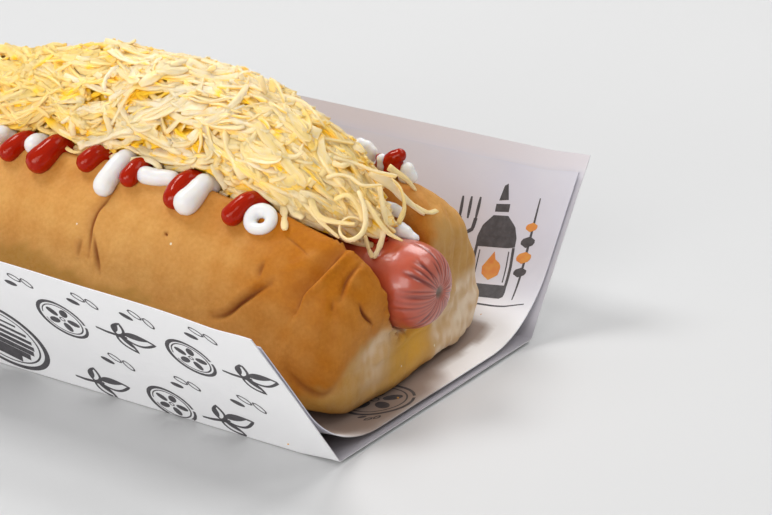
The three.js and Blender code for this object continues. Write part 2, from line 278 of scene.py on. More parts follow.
def ripple(points, wavelength, seed, waves=14):
    """Random smooth unevenness, about -1 to 1, over points in millimetres."""
    random = np.random.default_rng(seed)
    directions = random.normal(size=(waves, 3))
    directions /= np.linalg.norm(directions, axis=1)[:, None]
    pace = 2 * np.pi / (wavelength * random.uniform(0.7, 1.5, waves))
    phases = random.uniform(0, 2 * np.pi, waves)
    angles = (np.asarray(points, float) @ directions.T) * pace + phases
    return np.sin(angles).sum(-1) * math.sqrt(2 / waves) / 1.6


def read_points(piece):
    flat = np.empty(len(piece.data.vertices) * 3)
    piece.data.vertices.foreach_get("co", flat)
    return flat.reshape(-1, 3) / MM


def write_shares(piece, **shares):
    """Stores shares from 0 to 1 at each point, by name, for the material to read."""
    for name, values in shares.items():
        layer = piece.data.attributes.new(name, "FLOAT", "POINT")
        layer.data.foreach_set("value", np.clip(np.ravel(values), 0, 1).astype(np.float32))


def stored_shares(tree, *names):
    """The sockets of the shares that write_shares stored, by name."""
    return {name: add_node(tree, "Attribute", attribute_name=name).outputs["Fac"] for name in names}


@dataclass
class Sheet:
    """A sheet bent up along both sides. Its side is -1 in front of its middle line, 1 behind it."""

    half_length: float
    wall: float  # slant height
    bend: float  # radius of the bend between floor and wall
    under: float  # how far its outer face lies inside the tray's
    lift: float  # how far its free ends lift
    wave: float  # unevenness of its walls

    def widths(self, x, side):
        """Flat width, wall slope and full width of one half of the sheet, at x."""
        front = between(*front_flare, np.abs(x / half_length) ** 2.2)
        slope = np.radians(90 - np.where(side < 0, front, back_flare))
        tangent = self.bend * np.tan(slope / 2)
        flat = half_floor - tangent
        return flat, slope, flat + self.bend * slope + self.wall - tangent

    def at(self, x, across, inwards):
        """Points on the sheet, at a distance `across` from its middle line, in millimetres."""
        side = np.where(across < 0, -1, 1)
        flat, slope, _ = self.widths(x, side)
        distance = np.abs(across)
        turn = np.clip((distance - flat) / self.bend, 0, slope)
        rest = np.clip(distance - flat - self.bend * slope, 0, None)
        radius = self.bend - self.under - inwards
        out = np.minimum(distance, flat) + radius * np.sin(turn) + rest * np.cos(slope)
        up = self.bend - radius * np.cos(turn) + rest * np.sin(slope)
        lean = np.where(side < 0, end_lean[-1], end_lean[1])
        along = x - x / half_length * lean * up / wall
        raised = up + self.lift * ramp(np.abs(x), lifted_from, half_length)
        return np.stack(np.broadcast_arrays(along, side * out, raised), -1)

    def skin(self, x, across):
        """How far the paper's outer face lies inside the solid's: a little unevenly."""
        middle = self.at(x, across, 0.0)
        margin = (cad_ply - paper_thickness) / 2
        return margin + self.wave * (1 + ripple(middle, 46, 3)) * ramp(middle[..., 2], 1.5, 9)

    def mesh(self, name, columns, rows):
        """The closed thin sheet: an outer face, an inner face and the four edges."""
        steps = {"flat": 12, "bend": columns, "wall": 34}
        xs = np.linspace(-self.half_length, self.half_length, rows)
        lines = []
        for x in xs:
            halves = []
            for side in (-1, 1):
                flat, slope, full = self.widths(x, side)
                marks = np.concatenate([
                    np.linspace(0, flat, steps["flat"], endpoint=False),
                    np.linspace(flat, flat + self.bend * slope, steps["bend"], endpoint=False),
                    np.linspace(flat + self.bend * slope, full, steps["wall"]),
                ])
                halves.append(side * marks)
            lines.append(np.concatenate([halves[0][:0:-1], halves[1]]))
        across = np.array(lines)
        x = np.broadcast_to(xs[:, None], across.shape)
        depth = self.skin(x, across)
        outer = self.at(x, across, depth)
        inner = self.at(x, across, depth + paper_thickness)
        ring = np.concatenate([outer, inner[:, ::-1]], 1)
        count = across.shape[1]
        faces = grid_faces(len(xs), 2 * count, wrap=True)
        edge = np.arange(count - 1)
        mirror = 2 * count - 1 - edge
        last = (len(xs) - 1) * 2 * count
        cap = np.stack([edge, edge + 1, mirror - 1, mirror], -1)
        faces = np.concatenate([faces, cap[:, ::-1], cap + last])
        piece = new_piece(name, ring, faces)
        piece.data.set_sharp_from_angle(angle=math.radians(50))
        write_shares(piece, inner=np.tile(np.repeat([0.0, 1.0], count), len(xs)))
        return piece


def grid_faces(rows, columns, wrap=False):
    """Four-sided faces over points laid out row by row. `wrap` closes each row into a ring."""
    i, j = np.meshgrid(np.arange(rows - 1), np.arange(columns - (not wrap)), indexing="ij")
    beside = (j + 1) % columns
    corners = [i * columns + j, i * columns + beside, (i + 1) * columns + beside, (i + 1) * columns + j]
    return np.stack(corners, -1).reshape(-1, 4)


def finish_piece(piece, material, slot, *nodes):
    """Gives the piece its material, and lets it stand for its CAD nodes. Its slot is not used."""
    piece.data.materials.append(material)
    if nodes:
        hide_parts(*nodes)
    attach(piece, "root")


tray = Sheet(half_length, wall, bend=1.2, under=0.0, lift=0.9, wave=0.12)
tray_piece = tray.mesh("tray_sheet", columns=5, rows=90)
# The tray's floor is painted darker where it shows past the liner's ends: painted shade.
write_shares(tray_piece, floor=1 - ramp(read_points(tray_piece)[:, 2], 2, 7))

tray_paper, tree, shader = new_finish("white_food_paper", 0.72)
fibre = use_group(tree, patches, Size=0.03, Contrast=1.3, Seed=1.0)
share_of = stored_shares(tree, "inner", "floor")
outside = mix_colours(tree, fibre, (0.80, 0.795, 0.80), (0.85, 0.845, 0.85))
# The inside faces are painted greyer and more lilac than the outside: painted shade.
inside_shade = mix_colours(tree, fibre, (0.69, 0.66, 0.70), (0.75, 0.72, 0.76))
inside_shade = mix_colours(tree, share_of["floor"], inside_shade, (0.47, 0.445, 0.48))
paint(tree, shader, mix_colours(tree, share_of["inner"], outside, inside_shade))
coarse = add_relief(tree, shader, 0.012, 0.00006, seed=2.0)
add_relief(tree, shader, 0.0006, 0.000012, seed=5.0, below=coarse)
finish_piece(tray_piece, tray_paper, "tray_paper", "paper_outer")

# ---------------------------------------------------------------- print on the tray
# One charcoal ink, printed in loose hand-drawn lines before folding: slices of tomato, leaf
# sprigs and trios of seeds in staggered rows, and a large striped roundel on each wall.


class Print:
    """Ink laid on a sheet: lines and filled spots, in millimetres along and across it."""

    def __init__(self, sheet, above):
        self.sheet = sheet
        self.above = above  # how far inwards the ink lies from the paper's outer face
        self.points, self.faces = [], []

    def move_to(self, middle, turn=0.0, size=1.0):
        """Where, how turned and how large the next lines and spots are drawn."""
        self.place = (middle, turn, size)

    def add(self, flat, faces):
        start = sum(len(p) for p in self.points)
        self.points.append(np.asarray(flat, float))
        self.faces += [[start + k for k in face] for face in faces]

    def line(self, run, width, taper=0.35):
        """A pen stroke along a run of points, thinner towards both ends."""
        run = placed(run, *self.place)
        lengths = np.linalg.norm(np.diff(run, axis=0), axis=1)
        marks = np.concatenate([[0], np.cumsum(lengths)])
        steps = max(2, int(marks[-1] / 0.9))
        t = np.linspace(0, marks[-1], steps + 1)
        run = np.stack([np.interp(t, marks, run[:, k]) for k in (0, 1)], -1)
        ahead = np.gradient(run, axis=0)
        ahead /= np.linalg.norm(ahead, axis=1)[:, None] + 1e-9
        aside = np.stack([-ahead[:, 1], ahead[:, 0]], -1)
        swell = 1 - taper * np.abs(2 * t / marks[-1] - 1) ** 2
        half = (width / 2 * swell)[:, None]
        count = len(run)
        quads = [[k, k + 1, k + 1 + count, k + count] for k in range(count - 1)]
        self.add(np.concatenate([run + aside * half, run - aside * half]), quads)

    def spot(self, outline):
        """A filled shape, from its outline in order round its middle."""
        outline = placed(outline, *self.place)
        count = len(outline)
        middle = outline.mean(0)
        rings = [middle + (outline - middle) * share for share in (1, 0.5)]
        quads = [[k, (k + 1) % count, (k + 1) % count + count, k + count] for k in range(count)]
        fan = [[k + count, (k + 1) % count + count, 2 * count] for k in range(count)]
        self.add(np.concatenate([*rings, middle[None]]), quads + fan)

    def fill(self, outline, pitch=0.7):
        """A larger filled shape, in bands narrow enough to follow the sheet's bend."""
        outline = placed(outline, *self.place)
        closed = np.concatenate([outline, outline[:1]])
        low, high = outline[:, 1].min() + 0.02, outline[:, 1].max() - 0.02
        levels = np.linspace(low, high, max(2, int((high - low) / pitch) + 1))
        ends = []
        for level in levels:
            crossings = [
                between(a[0], b[0], (level - a[1]) / (b[1] - a[1]))
                for a, b in zip(closed[:-1], closed[1:])
                if (a[1] - level) * (b[1] - level) < 0
            ]
            ends.append((min(crossings), max(crossings)) if crossings else ends[-1])
        count = len(levels)
        ends = np.array(ends)
        flat = np.concatenate([np.c_[ends[:, 0], levels], np.c_[ends[:, 1], levels]])
        self.add(flat, [[k, k + count, k + count + 1, k + 1] for k in range(count - 1)])

    def piece(self, name):
        flat = np.concatenate(self.points)
        depth = self.sheet.skin(flat[:, 0], flat[:, 1]) + self.above
        return new_piece(name, self.sheet.at(flat[:, 0], flat[:, 1], depth), self.faces)


def circle(radius, start=0.0, end=2 * math.pi, stretch=1.0, steps=28):
    angle = np.linspace(start, end, steps)
    return np.stack([radius * np.cos(angle), radius * stretch * np.sin(angle)], -1)


def placed(flat, middle, turn, size=1.0):
    c, s = math.cos(turn), math.sin(turn)
    return np.asarray(flat, float) * size @ np.array([[c, s], [-s, c]]) + middle


def tomato_slice(ink):
    """A round slice: a bold double rim and five filled seed pockets."""
    ink.line(circle(7.2, 0.2, 6.35), 1.25)
    ink.line(circle(5.9, 3.4, 9.3), 0.5)
    for k in range(5):
        pocket = circle(1.9, stretch=0.66, steps=13)[:-1] + [3.3, 0]
        ink.spot(placed(pocket, (0, 0), k * 2 * math.pi / 5 + 0.3))
    ink.line(circle(0.8), 0.5)


def leaf_outline(length, belly):
    t = np.linspace(0, 1, 13)
    bulge = belly * np.sin(np.pi * t**0.8)
    there, back = np.stack([length * t, bulge], -1), np.stack([length * t, -bulge], -1)[::-1]
    return np.concatenate([there, back[1:]])


def leaf_sprig(ink):
    """Three broad pointed leaves on a bent stem. One half of each leaf is filled."""
    ink.line([[-10, -2.5], [-7, -1.4], [-3.5, -0.9], [0, -0.6]], 1.2)
    leaves = (((-1.5, -0.7), 0.05, 11.0), ((-3.6, -0.6), 1.05, 7.4), ((-3.2, -1.2), -0.95, 7.2))
    for root, angle, length in leaves:
        belly = 0.24 * length
        ink.line(placed(leaf_outline(length, belly), root, angle), 0.95, taper=0.1)
        half = leaf_outline(length * 0.84, belly * 0.4) + [length * 0.08, -belly * 0.42]
        ink.spot(placed(half, root, angle)[:-1])


def three_seeds(ink):
    """Three small seeds, the first one filled."""
    for k, spot in enumerate(((-3.4, 0.9), (0.4, -1.1), (3.7, 1.3))):
        seed = placed(circle(2.1, stretch=0.5, steps=15), spot, 0.5 + 0.35 * k)
        if k == 0:
            ink.spot(seed[:-1])
        else:
            ink.line(seed, 0.55, taper=0.0)


def striped_roundel(ink, middle, radius):
    """A double ring round a bold sun of stripes."""
    ink.move_to(middle)
    ink.line(circle(radius, steps=60), 1.7, taper=0.0)
    ink.line(circle(radius - 2.3, steps=56), 0.6, taper=0.0)
    ink.move_to(middle, 0.35)
    inner = radius - 4.2
    for k in range(-3, 4):
        height = k * inner / 3.6
        reach = math.sqrt(inner**2 - height**2)
        ink.line([[-reach, height], [reach, height]], 1.1 + 0.38 * (k + 3), taper=0.0)


charcoal_ink, tree, shader = two_shades(
    "charcoal_ink", 0.6, (0.042, 0.038, 0.042), (0.09, 0.083, 0.09), size=0.0016, contrast=2.2, seed=3.0
)
add_relief(tree, shader, 0.0008, 0.00001)

random = np.random.default_rng(8)
ink_film = 0.035
outside = Print(tray, -ink_film)
motifs = (tomato_slice, leaf_sprig)
column_pitch, row_pitch = 21.5, 14.4
roundel = (-7.0, 17.0, 15.0)  # along, up the wall from the fold, radius
for side in (-1, 1):
    for row in range(4):
        up = 6.5 + row * row_pitch
        shift = (row % 2) * column_pitch / 2 - side * 5
        for column in range(-5, 6):
            x = column * column_pitch + shift + random.uniform(-1.5, 1.5)
            spot_up = up + random.uniform(-1, 1)
            kind = motifs[(column + row // 2) % 2] if row % 2 == 0 else three_seeds
            room_left = half_length - 3 - abs(x)
            clear = math.hypot(x - roundel[0] * -side, spot_up - roundel[1]) > roundel[2] + 8
            turn, size = random.uniform(-0.45, 0.1), random.uniform(0.98, 1.1)
            if room_left > 7 and clear and spot_up < wall - 4:
                outside.move_to((x, side * (half_floor + spot_up)), turn, size)
                kind(outside)
    middle = (roundel[0] * -side, side * (half_floor + roundel[1]))
    striped_roundel(outside, middle, roundel[2])
tray_print = outside.piece("tray_print")
finish_piece(tray_print, charcoal_ink, "tray_paper", "paper_outer")

# ---------------------------------------------------------------- liner
# A second, thinner greaseproof sheet, bent into the tray without a fold, so that a wedge of
# air stays along each side. Its edges stop short of the tray's. Round the bun's foot it is painted
# brown: painted shadow of the bun, with a little fat that the paper takes up.

liner_bend = 40.0
liner_below = 6.5  # its top edge stops this far below the tray's
liner_inset = 1.2
liner_under = cad_ply + 0.6
liner = Sheet(half_length - liner_inset, wall - liner_below, liner_bend, liner_under, lift=1.5, wave=0.1)
liner_piece = liner.mesh("liner_sheet", columns=26, rows=90)
points = read_points(liner_piece)
bun_foot = (88.0, 37.0)  # half length and half width of what stands on the liner
foot_middle = 3.5  # how far behind the tray's middle line it stands
beyond = np.hypot(
    np.clip(np.abs(points[:, 0]) - bun_foot[0], 0, None),
    np.clip(np.abs(points[:, 1] - foot_middle) - bun_foot[1], 0, None),
)
on_floor = 1 - ramp(points[:, 2], 3.5, 14)
# Round the bun's foot the floor is painted brown, widest in front: painted shadow of the bun, with a little
# fat that the paper took up.
spread = between(22, 4, ramp(points[:, 1], -8, 20))
soaked_and_shaded = 1 - ramp(beyond + 1.2 * ripple(points, 9, 12), 0.3 * spread, spread)
write_shares(liner_piece, floor=on_floor, fat=on_floor * soaked_and_shaded)

liner_paper, tree, shader = new_finish("greaseproof_paper", 0.6)
tint = use_group(tree, patches, Size=0.05, Contrast=2.2, Seed=6.0)
cream = use_group(tree, patches, Size=0.02, Contrast=1.5, Seed=7.0)
share_of = stored_shares(tree, "floor", "fat")
# The walls are painted greyer and lilac: painted shade. The floor is painted nearly white: painted light.
paint(tree, shader, layered(
    tree, mix_colours(tree, tint, (0.66, 0.64, 0.69), (0.64, 0.64, 0.75)),
    (cream, (0.71, 0.71, 0.77)),
    (share_of["floor"], (0.95, 0.945, 0.95)),
    (share_of["fat"], (0.33, 0.255, 0.215)),
))
coarse = add_relief(tree, shader, 0.014, 0.0001, seed=8.0)
add_relief(tree, shader, 0.0005, 0.00001, seed=9.0, below=coarse)
finish_piece(liner_piece, liner_paper, "liner_paper", "paper_liner")

# ---------------------------------------------------------------- print on the liner
# The same charcoal ink inside the liner, with a few shapes in orange: a sauce bottle, a fork and
# a skewer on the back wall near each end, and a round slice on the floor, half under the bun.


def bottle_and_fork(ink, second):
    """A squeeze bottle with a flame on its label, between a fork and a skewer."""
    ink.fill([[-6.2, -17], [6.2, -17], [6.6, -15], [6.5, -12.4], [-6.5, -12.4], [-6.6, -15]])
    ink.fill([
        [-6.5, -0.6], [-6.5, 2.6], [-5.4, 6], [-2.4, 9.2], [2.4, 9.2], [5.4, 6], [6.5, 2.6], [6.5, -0.6],
    ])
    ink.fill([[-2.3, 10.2], [2.3, 10.2], [2.3, 12.8], [-2.3, 12.8]])
    ink.fill([[-1.6, 13.7], [1.6, 13.7], [0.5, 19], [-0.5, 19]])
    for side in (-1, 1):
        ink.line([[side * 6.1, -12.6], [side * 6.3, -6], [side * 6.1, -0.4]], 0.9, taper=0.0)
        ink.line([[side * 4.8, -11.4], [side * 4.9, -6], [side * 4.8, -1.6]], 0.4, taper=0.0)
    second.fill([
        [0, -11], [2.7, -9.2], [3.1, -6.4], [1.9, -4.4], [1.4, -5.6], [0.2, -1.8], [-1.5, -4.4],
        [-3.0, -6.8], [-2.6, -9.3],
    ])
    ink.line([[-12.4, -18], [-11.8, -8], [-10.6, 3]], 1.5, taper=0.1)
    ink.line([[-13.6, 8], [-12.8, 4.6], [-10.6, 3.2], [-8.6, 4.4], [-8.2, 7.8]], 1.2, taper=0.0)
    for x, lean in ((-13.6, -0.2), (-10.9, 0), (-8.2, 0.3)):
        ink.line([[x, 7.6], [x + lean, 14.4]], 1.0, taper=0.4)
    ink.line([[9.6, -17.5], [10.8, 0], [11.8, 15]], 0.8, taper=0.5)
    for k, (low, half) in enumerate(((-8, 2.2), (-3.4, 2.5), (1.4, 2.4), (6, 2.0))):
        lump = placed(circle(half, stretch=0.72, steps=15)[:-1], (10.3 + 0.075 * low, low), 0.1)
        (second if k % 2 else ink).fill(lump)
    ink.line([[-14, -20], [-4, -19.4], [8, -19.8], [14, -19.2]], 0.6)


face = paper_thickness + ink_film
inside, orange = Print(liner, face), Print(liner, face)
for end in (1, -1):
    for ink in (inside, orange):
        ink.move_to((end * 80, 70), 0.14 * end)
    bottle_and_fork(inside, orange)
    inside.move_to((end * 87, -12), 0.4, 1.5)
    tomato_slice(inside)
    inside.move_to((end * 93, -24), 0.2, 0.6)
    three_seeds(inside)
liner_print = inside.piece("liner_print")
finish_piece(liner_print, charcoal_ink, "liner_paper", "paper_liner")

orange_ink, _, _ = two_shades(
    "orange_ink", 0.6, (0.70, 0.20, 0.04), (0.75, 0.36, 0.06), size=0.002, contrast=2.0, seed=4.0
)
liner_accents = orange.piece("liner_print_orange")
finish_piece(liner_accents, orange_ink, "liner_paper", "paper_liner")

# ---------------------------------------------------------------- bun
# A long soft milk bun, baked side by side with others and slit along the top. The crust is
# thin and golden, creased where it was handled, and pale where the next bun touched it. Shade in
# the creases and on the right end, and a highlight on the back lip, are painted into its colour.

bun_low, bun_high = (np.array(corner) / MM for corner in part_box("bun"))
bun_left, bun_right = bun_low[0], 90.0
bun_middle = (bun_low[1] + bun_high[1]) / 2
half_width = 42.0
underside = bun_low[2]
lip_at_middle, lip_fall = 55.0, 6.5
lip_out = {-1: 18.0, 1: 20.0}  # from the sausage's axis to the crest of each lip
axis_height = 32.0
slit_radius = 12.5
end_radius = {"crest": 14.0, "side": 11.0, "back_side": 6.5, "foot": 4.0, "mouth": 3.5}
end_skew = 0.1


def lip_height(x, side=-1):
    """The lips are highest at mid length, wavy as in a torn-open bun. The back one, side 1, stands
    up further at the right."""
    fall = lip_fall * ramp(np.abs(x), 26, 86)
    height = lip_at_middle - fall + 0.6 * np.sin(x / 9 + 1) + 0.3 * np.sin(x / 4.3)
    return height + 3.0 * ramp(x, 30, 60) if side > 0 else height


def edge_drop(distance, radius):
    """How far a round edge has dropped at a distance from its end."""
    inside = np.clip(radius - distance, 0, radius)
    return radius - np.sqrt(radius**2 - inside**2)


def closed_curves(control, steps):
    """Smooth closed curves through rows of control points, `steps` points from each to the next."""
    p0, p1, p2, p3 = (np.roll(control, shift, axis=1) for shift in (1, 0, -1, -2))
    legs = ((p0, p1), (p1, p2), (p2, p3))
    gaps = [np.sqrt(np.linalg.norm(b - a, axis=-1, keepdims=True)) for a, b in legs]
    d0, d1, d2 = (np.maximum(gap, 1e-4) for gap in gaps)
    out = ((p1 - p0) / d0 - (p2 - p0) / (d0 + d1) + (p2 - p1) / d1) * d1
    into = ((p2 - p1) / d1 - (p3 - p1) / (d1 + d2) + (p3 - p2) / d2) * d1
    t = (np.arange(steps) / steps)[:, None]
    p1, p2, out, into = (part[:, :, None] for part in (p1, p2, out, into))
    curve = p1 + out * t + (3 * (p2 - p1) - 2 * out - into) * t**2 + (2 * (p1 - p2) + out + into) * t**3
    return curve.reshape(len(control), -1, 3)


def open_curve(control, steps):
    """A smooth curve through the control points, with its two ends kept."""
    control = np.asarray(control, float)
    ends = [2 * control[0] - control[1], *control, 2 * control[-1] - control[-2]]
    curve = closed_curves(np.array(ends)[None], steps)[0]
    return curve[steps:len(control) * steps + 1]


def bun_rings(x):
    """The bun's U-shaped outlines across the stations x, rounded off towards both ends."""
    to_end = np.where(x > 0, bun_right - x, x - bun_left)
    crest, foot, mouth = (edge_drop(to_end, end_radius[k]) for k in ("crest", "foot", "mouth"))
    waist = axis_height - 2 - 0.3 * crest
    full = half_width + 0.7 * np.sin(x / 17 + 2) + 0.4 * np.sin(x / 7.1)

    ring = [(bun_middle + 0 * x, underside + foot)]
    for s in (1, -1):
        top = lip_height(x, s)
        flare = mouth if s > 0 else 0.25 * mouth  # the front one keeps close to the sausage
        side = edge_drop(to_end, end_radius["back_side" if s > 0 else "side"])

        def level(share):
            return between(underside, top, share)

        def reach(share):
            return between(waist, top - crest, share)

        outer = [  # out from the loaf's middle and up, from the foot to the shoulder
            (0.4 * full, underside + foot),
            (0.76 * full - 0.5 * side, underside + 0.6 + foot),
            (0.94 * full - 0.95 * side, level(0.09) + 0.6 * foot),
            (full - side, level(0.29)),
            (0.95 * full - 0.95 * side, level(0.53) - 0.25 * crest),
            (0.8 * full - 0.7 * side, level(0.79) - 0.55 * crest),
            (0.62 * full - 0.35 * side, level(0.935) - 0.85 * crest),
        ]
        deep = slit_radius * 0.71
        inner = [  # out from the sausage's axis and up, from the lip to the bed
            (14.8 + 0.5 * flare, reach(0.8)),
            (13 + 0.8 * flare, reach(0.4)),
            (slit_radius - 0.2 + 0.9 * flare, waist),
            (deep + 0.6 * flare, axis_height - deep - 0.6 * flare),
        ]
        half = [(bun_middle + s * out, up) for out, up in outer]
        half.append((s * (lip_out[s] + 0.4 * flare), top - crest))
        half += [(s * out, up) for out, up in inner]
        ring += half if s > 0 else [(0 * x, axis_height - slit_radius - mouth), *half[::-1]]
    y, z = (np.stack([point[k] + 0 * x for point in ring], 1) for k in (0, 1))
    skew = end_skew * np.maximum(y, 0) * ramp(x, 60, bun_right)[:, None]
    return closed_curves(np.stack([x[:, None] - skew, y, z], -1), 8)


def crowded(low, high, count, crowding):
    """Stations from low to high, closer together near both ends."""
    t = np.linspace(-1, 1, count)
    return between(low, high, (np.sign(t) * (1 - (1 - np.abs(t)) ** crowding) + 1) / 2)


def remeshed(piece, voxel, smoothing=6):
    """The piece's skin made anew from even small faces, with its points and their normals."""
    skin = piece.modifiers.new("skin", "REMESH")
    skin.mode = "VOXEL"
    skin.voxel_size = voxel * MM
    skin.use_smooth_shade = True
    soften = piece.modifiers.new("soften", "SMOOTH")
    soften.factor = 0.5
    soften.iterations = smoothing
    ready = piece.evaluated_get(bpy.context.evaluated_depsgraph_get())
    mesh = bpy.data.meshes.new_from_object(ready)
    piece.modifiers.clear()
    piece.data = mesh
    mesh.name = piece.name
    return read_points(piece), read_normals(piece)


def read_normals(piece):
    flat = np.empty(len(piece.data.vertices) * 3)
    piece.data.vertex_normals.foreach_get("vector", flat)
    return flat.reshape(-1, 3)


def write_points(piece, points):
    piece.data.vertices.foreach_set("co", (points * MM).ravel())
    piece.data.update()


def surface_of(*pieces):
    """What rays meet: the pieces' skins, in millimetres."""
    points, faces, start = [], [], 0
    for piece in pieces:
        own = read_points(piece)
        points += own.tolist()
        faces += [[start + k for k in face.vertices] for face in piece.data.polygons]
        start += len(own)
    return BVHTree.FromPolygons(points, faces)


bun_x = crowded(bun_left, bun_right, 150, 2.1)
rings = bun_rings(bun_x)
per_ring = rings.shape[1]
sides = grid_faces(len(rings), per_ring, wrap=True).tolist()
last = (len(rings) - 1) * per_ring
left_end = list(range(per_ring))[::-1]
right_end = [last + k for k in range(per_ring)]
bun = new_piece("bun_crust", rings, sides + [left_end, right_end])
points, normals = remeshed(bun, 0.88, smoothing=5)
smooth_bun = surface_of(bun)


def refined(piece, close):
    """Cuts the faces round the marked points into four."""
    mesh = bmesh.new()
    mesh.from_mesh(piece.data)
    mesh.verts.ensure_lookup_table()
    edges = [edge for edge in mesh.edges if all(close[corner.index] for corner in edge.verts)]
    bmesh.ops.subdivide_edges(mesh, edges=edges, cuts=1, use_grid_fill=True)
    mesh.to_mesh(piece.data)
    mesh.free()
    return read_points(piece), read_normals(piece)


def nearest_on_run(points, run):
    """Distance of each point from a run, the side it lies on and its share of the run's length."""
    best = np.full(len(points), 1e9)
    side, share = np.zeros(len(points)), np.zeros(len(points))
    lengths = np.linalg.norm(np.diff(run, axis=0), axis=1)
    marks = np.concatenate([[0], np.cumsum(lengths)])
    for k, (start, end) in enumerate(zip(run[:-1], run[1:])):
        leg = end - start
        t = np.clip((points - start) @ leg / (leg @ leg), 0, 1)
        offset = points - start - t[:, None] * leg
        distance = np.linalg.norm(offset, axis=1)
        closer = distance < best
        outwards = np.array([0.25, -1.0, 0.35])
        aside = np.cross(leg, outwards)
        aside /= np.linalg.norm(aside)
        best = np.where(closer, distance, best)
        side = np.where(closer, np.clip(offset @ aside / (distance + 1e-9), -1, 1), side)
        share = np.where(closer, (marks[k] + t * lengths[k]) / marks[-1], share)
    return best, side, share


# Each crease of the front: its run [along, across, up], then depth, width, how much wider it is
# on the left of the run as seen from the front, ridge beside it, the ridge's side, and the darkness
# of the painted shade in it.
creases = [
    ([(7.7, -36.3, 33.9), (7.1, -34.3, 37), (6.2, -31.8, 41), (6.4, -29.7, 44.2), (7.9, -27.9, 47.8),
      (9, -25, 51)], 1.1, 0.9, 2.6, 0.35, 1, 0.75),
    ([(3.9, -36, 32.5), (3.6, -35.2, 35), (3.8, -34.6, 38)], 0.6, 1.0, 1.4, 0.1, 1, 0.4),
    ([(12.4, -36.9, 30.2), (9.6, -34.2, 35.6), (8, -32.8, 38.8)], 0.9, 0.75, 1.3, 0.25, -1, 0.7),
    ([(51, -36, 26), (53, -35.6, 26.4), (56.2, -34.7, 27.9), (59.4, -33.6, 31.1), (63.7, -32, 34.9),
      (67, -31.1, 37.4)], 1.5, 0.85, 1.6, 0.7, -1, 0.8),
    ([(63, -31.8, 39), (62.8, -30.5, 40.6), (63.2, -29.2, 42.1)], 0.8, 0.8, 1.2, 0.15, 1, 0.45),
    ([(76, -33.4, 32), (76.3, -32.9, 33.6), (76.8, -31.6, 37.3), (78.8, -28.7, 39.9),
      (80.4, -22.5, 43.3), (81.9, -18.2, 46.8), (82, -16.6, 47.4)], 2.7, 0.8, 4.2, 1.5, 1, 0.85),
    ([(86.3, -27.4, 36), (85.6, -23.6, 40.1), (85.8, -21.4, 41.9), (86, -18.4, 43.2)],
     0.9, 0.55, 2.0, 0.4, 1, 0.7),
    ([(85.8, -30.4, 33.3), (85, -29.1, 36.1)], 0.5, 0.6, 1.5, 0.1, 1, 0.3),
    ([(90.1, -19.4, 27.3), (89.7, -22.5, 31.4), (89.2, -23.1, 34.2)], 1.1, 0.5, 1.4, 0.35, -1, 1.2),
    ([(76.4, -38.2, 17.5), (81.3, -38.2, 14), (86.5, -35.7, 11.6), (88.4, -32.8, 13.7)],
     0.9, 1.0, 1.6, 0.3, 1, 0.5),
    ([(65.2, -22.5, 48.2), (70.7, -23.3, 46.2), (74.3, -24.3, 44.8)], 0.25, 0.35, 1.2, 0.1, 1, 0.4),
    ([(30.2, -30.1, 43.1), (30.6, -29.8, 43.7)], 0.9, 0.75, 1.0, 0.1, 1, 0.8),
]
runs = []
for run, *rest in creases:
    snapped = [np.array(smooth_bun.find_nearest(Vector(point))[0]) for point in run]
    runs.append(open_curve(snapped, 4) if len(run) > 2 else np.array(snapped))
for margin in (2.2, 1.1):
    close = np.zeros(len(points), bool)
    for run in runs:
        close |= nearest_on_run(points, run)[0] < margin
    points, normals = refined(bun, close)
height = np.zeros(len(points))
pressed = np.zeros(len(points))
for run, (_, depth, width, wider, ridge, ridge_side, dark) in zip(runs, creases):
    distance, side, share = nearest_on_run(points, run)
    fade = np.sin(np.pi * np.clip(share, 0.04, 0.96)) ** 0.6
    own_width = width * np.where(side < 0, wider, 1)
    groove = -depth * np.exp(-((distance / own_width) ** 2))
    signed = distance * side * ridge_side
    swollen = ridge * np.exp(-(((signed - 2.0 * width) / (1.5 * width)) ** 2))
    height += (groove + swollen) * fade
    # Each crease is painted dark along its groove: painted shade.
    line = np.exp(-((distance / (0.8 * width)) ** 2))
    line = line + 0.3 * np.exp(-((distance / (0.9 * own_width)) ** 2))
    pressed = np.maximum(pressed, line * fade * dark)

to_axis = np.linalg.norm(points[:, 1:] - [0, axis_height], axis=1)
outer_skin = ramp(to_axis, 12.9, 15)
end_face = ramp(np.abs(normals[:, 0]), 0.4, 0.8) * ramp(np.abs(points[:, 0]), 70, 84)
height += outer_skin * (
    0.35 * ripple(points, 26, 21) + 0.14 * ripple(points, 9, 22) + 0.05 * ripple(points, 4.2, 23)
)
at_back = ramp(points[:, 1], 8, 24)  # the far side of the end face is drawn into pleats
pleats = points * [0.1, 1, 0.22]
folds = 0.5 * ripple(pleats, 5.5, 24) + 0.25 * ripple(pleats, 2.6, 25)
height += end_face * (0.15 + 0.85 * at_back) * folds
height += end_face * 0.5 * ripple(points, 12, 26)
points = points + normals * height[:, None]


def round_patch(y, z, middle, size):
    """1 at the middle of a soft round patch across and up, 0 well outside it."""
    return np.exp(-(((y - middle[0]) / size[0]) ** 2) - ((z - middle[1]) / size[1]) ** 2)


# The torn front edge of the slit stands out past the end, close to the sausage.
flap_out = 3.2
flap = round_patch(points[:, 1], points[:, 2], (-13, 33), (8.5, 10)) * ramp(np.abs(points[:, 0]), 76, 89)
points[:, 0] += np.sign(points[:, 0]) * flap_out * flap
torn = (1 - ramp(to_axis, 13.5, 17)) * ramp(np.abs(points[:, 0]), 80, 88)
across = points * [0, 1, 1]
points[:, 0] += torn * (0.7 * ripple(across, 3.4, 27) + 0.4 * ripple(across, 1.6, 28))
write_points(bun, points)

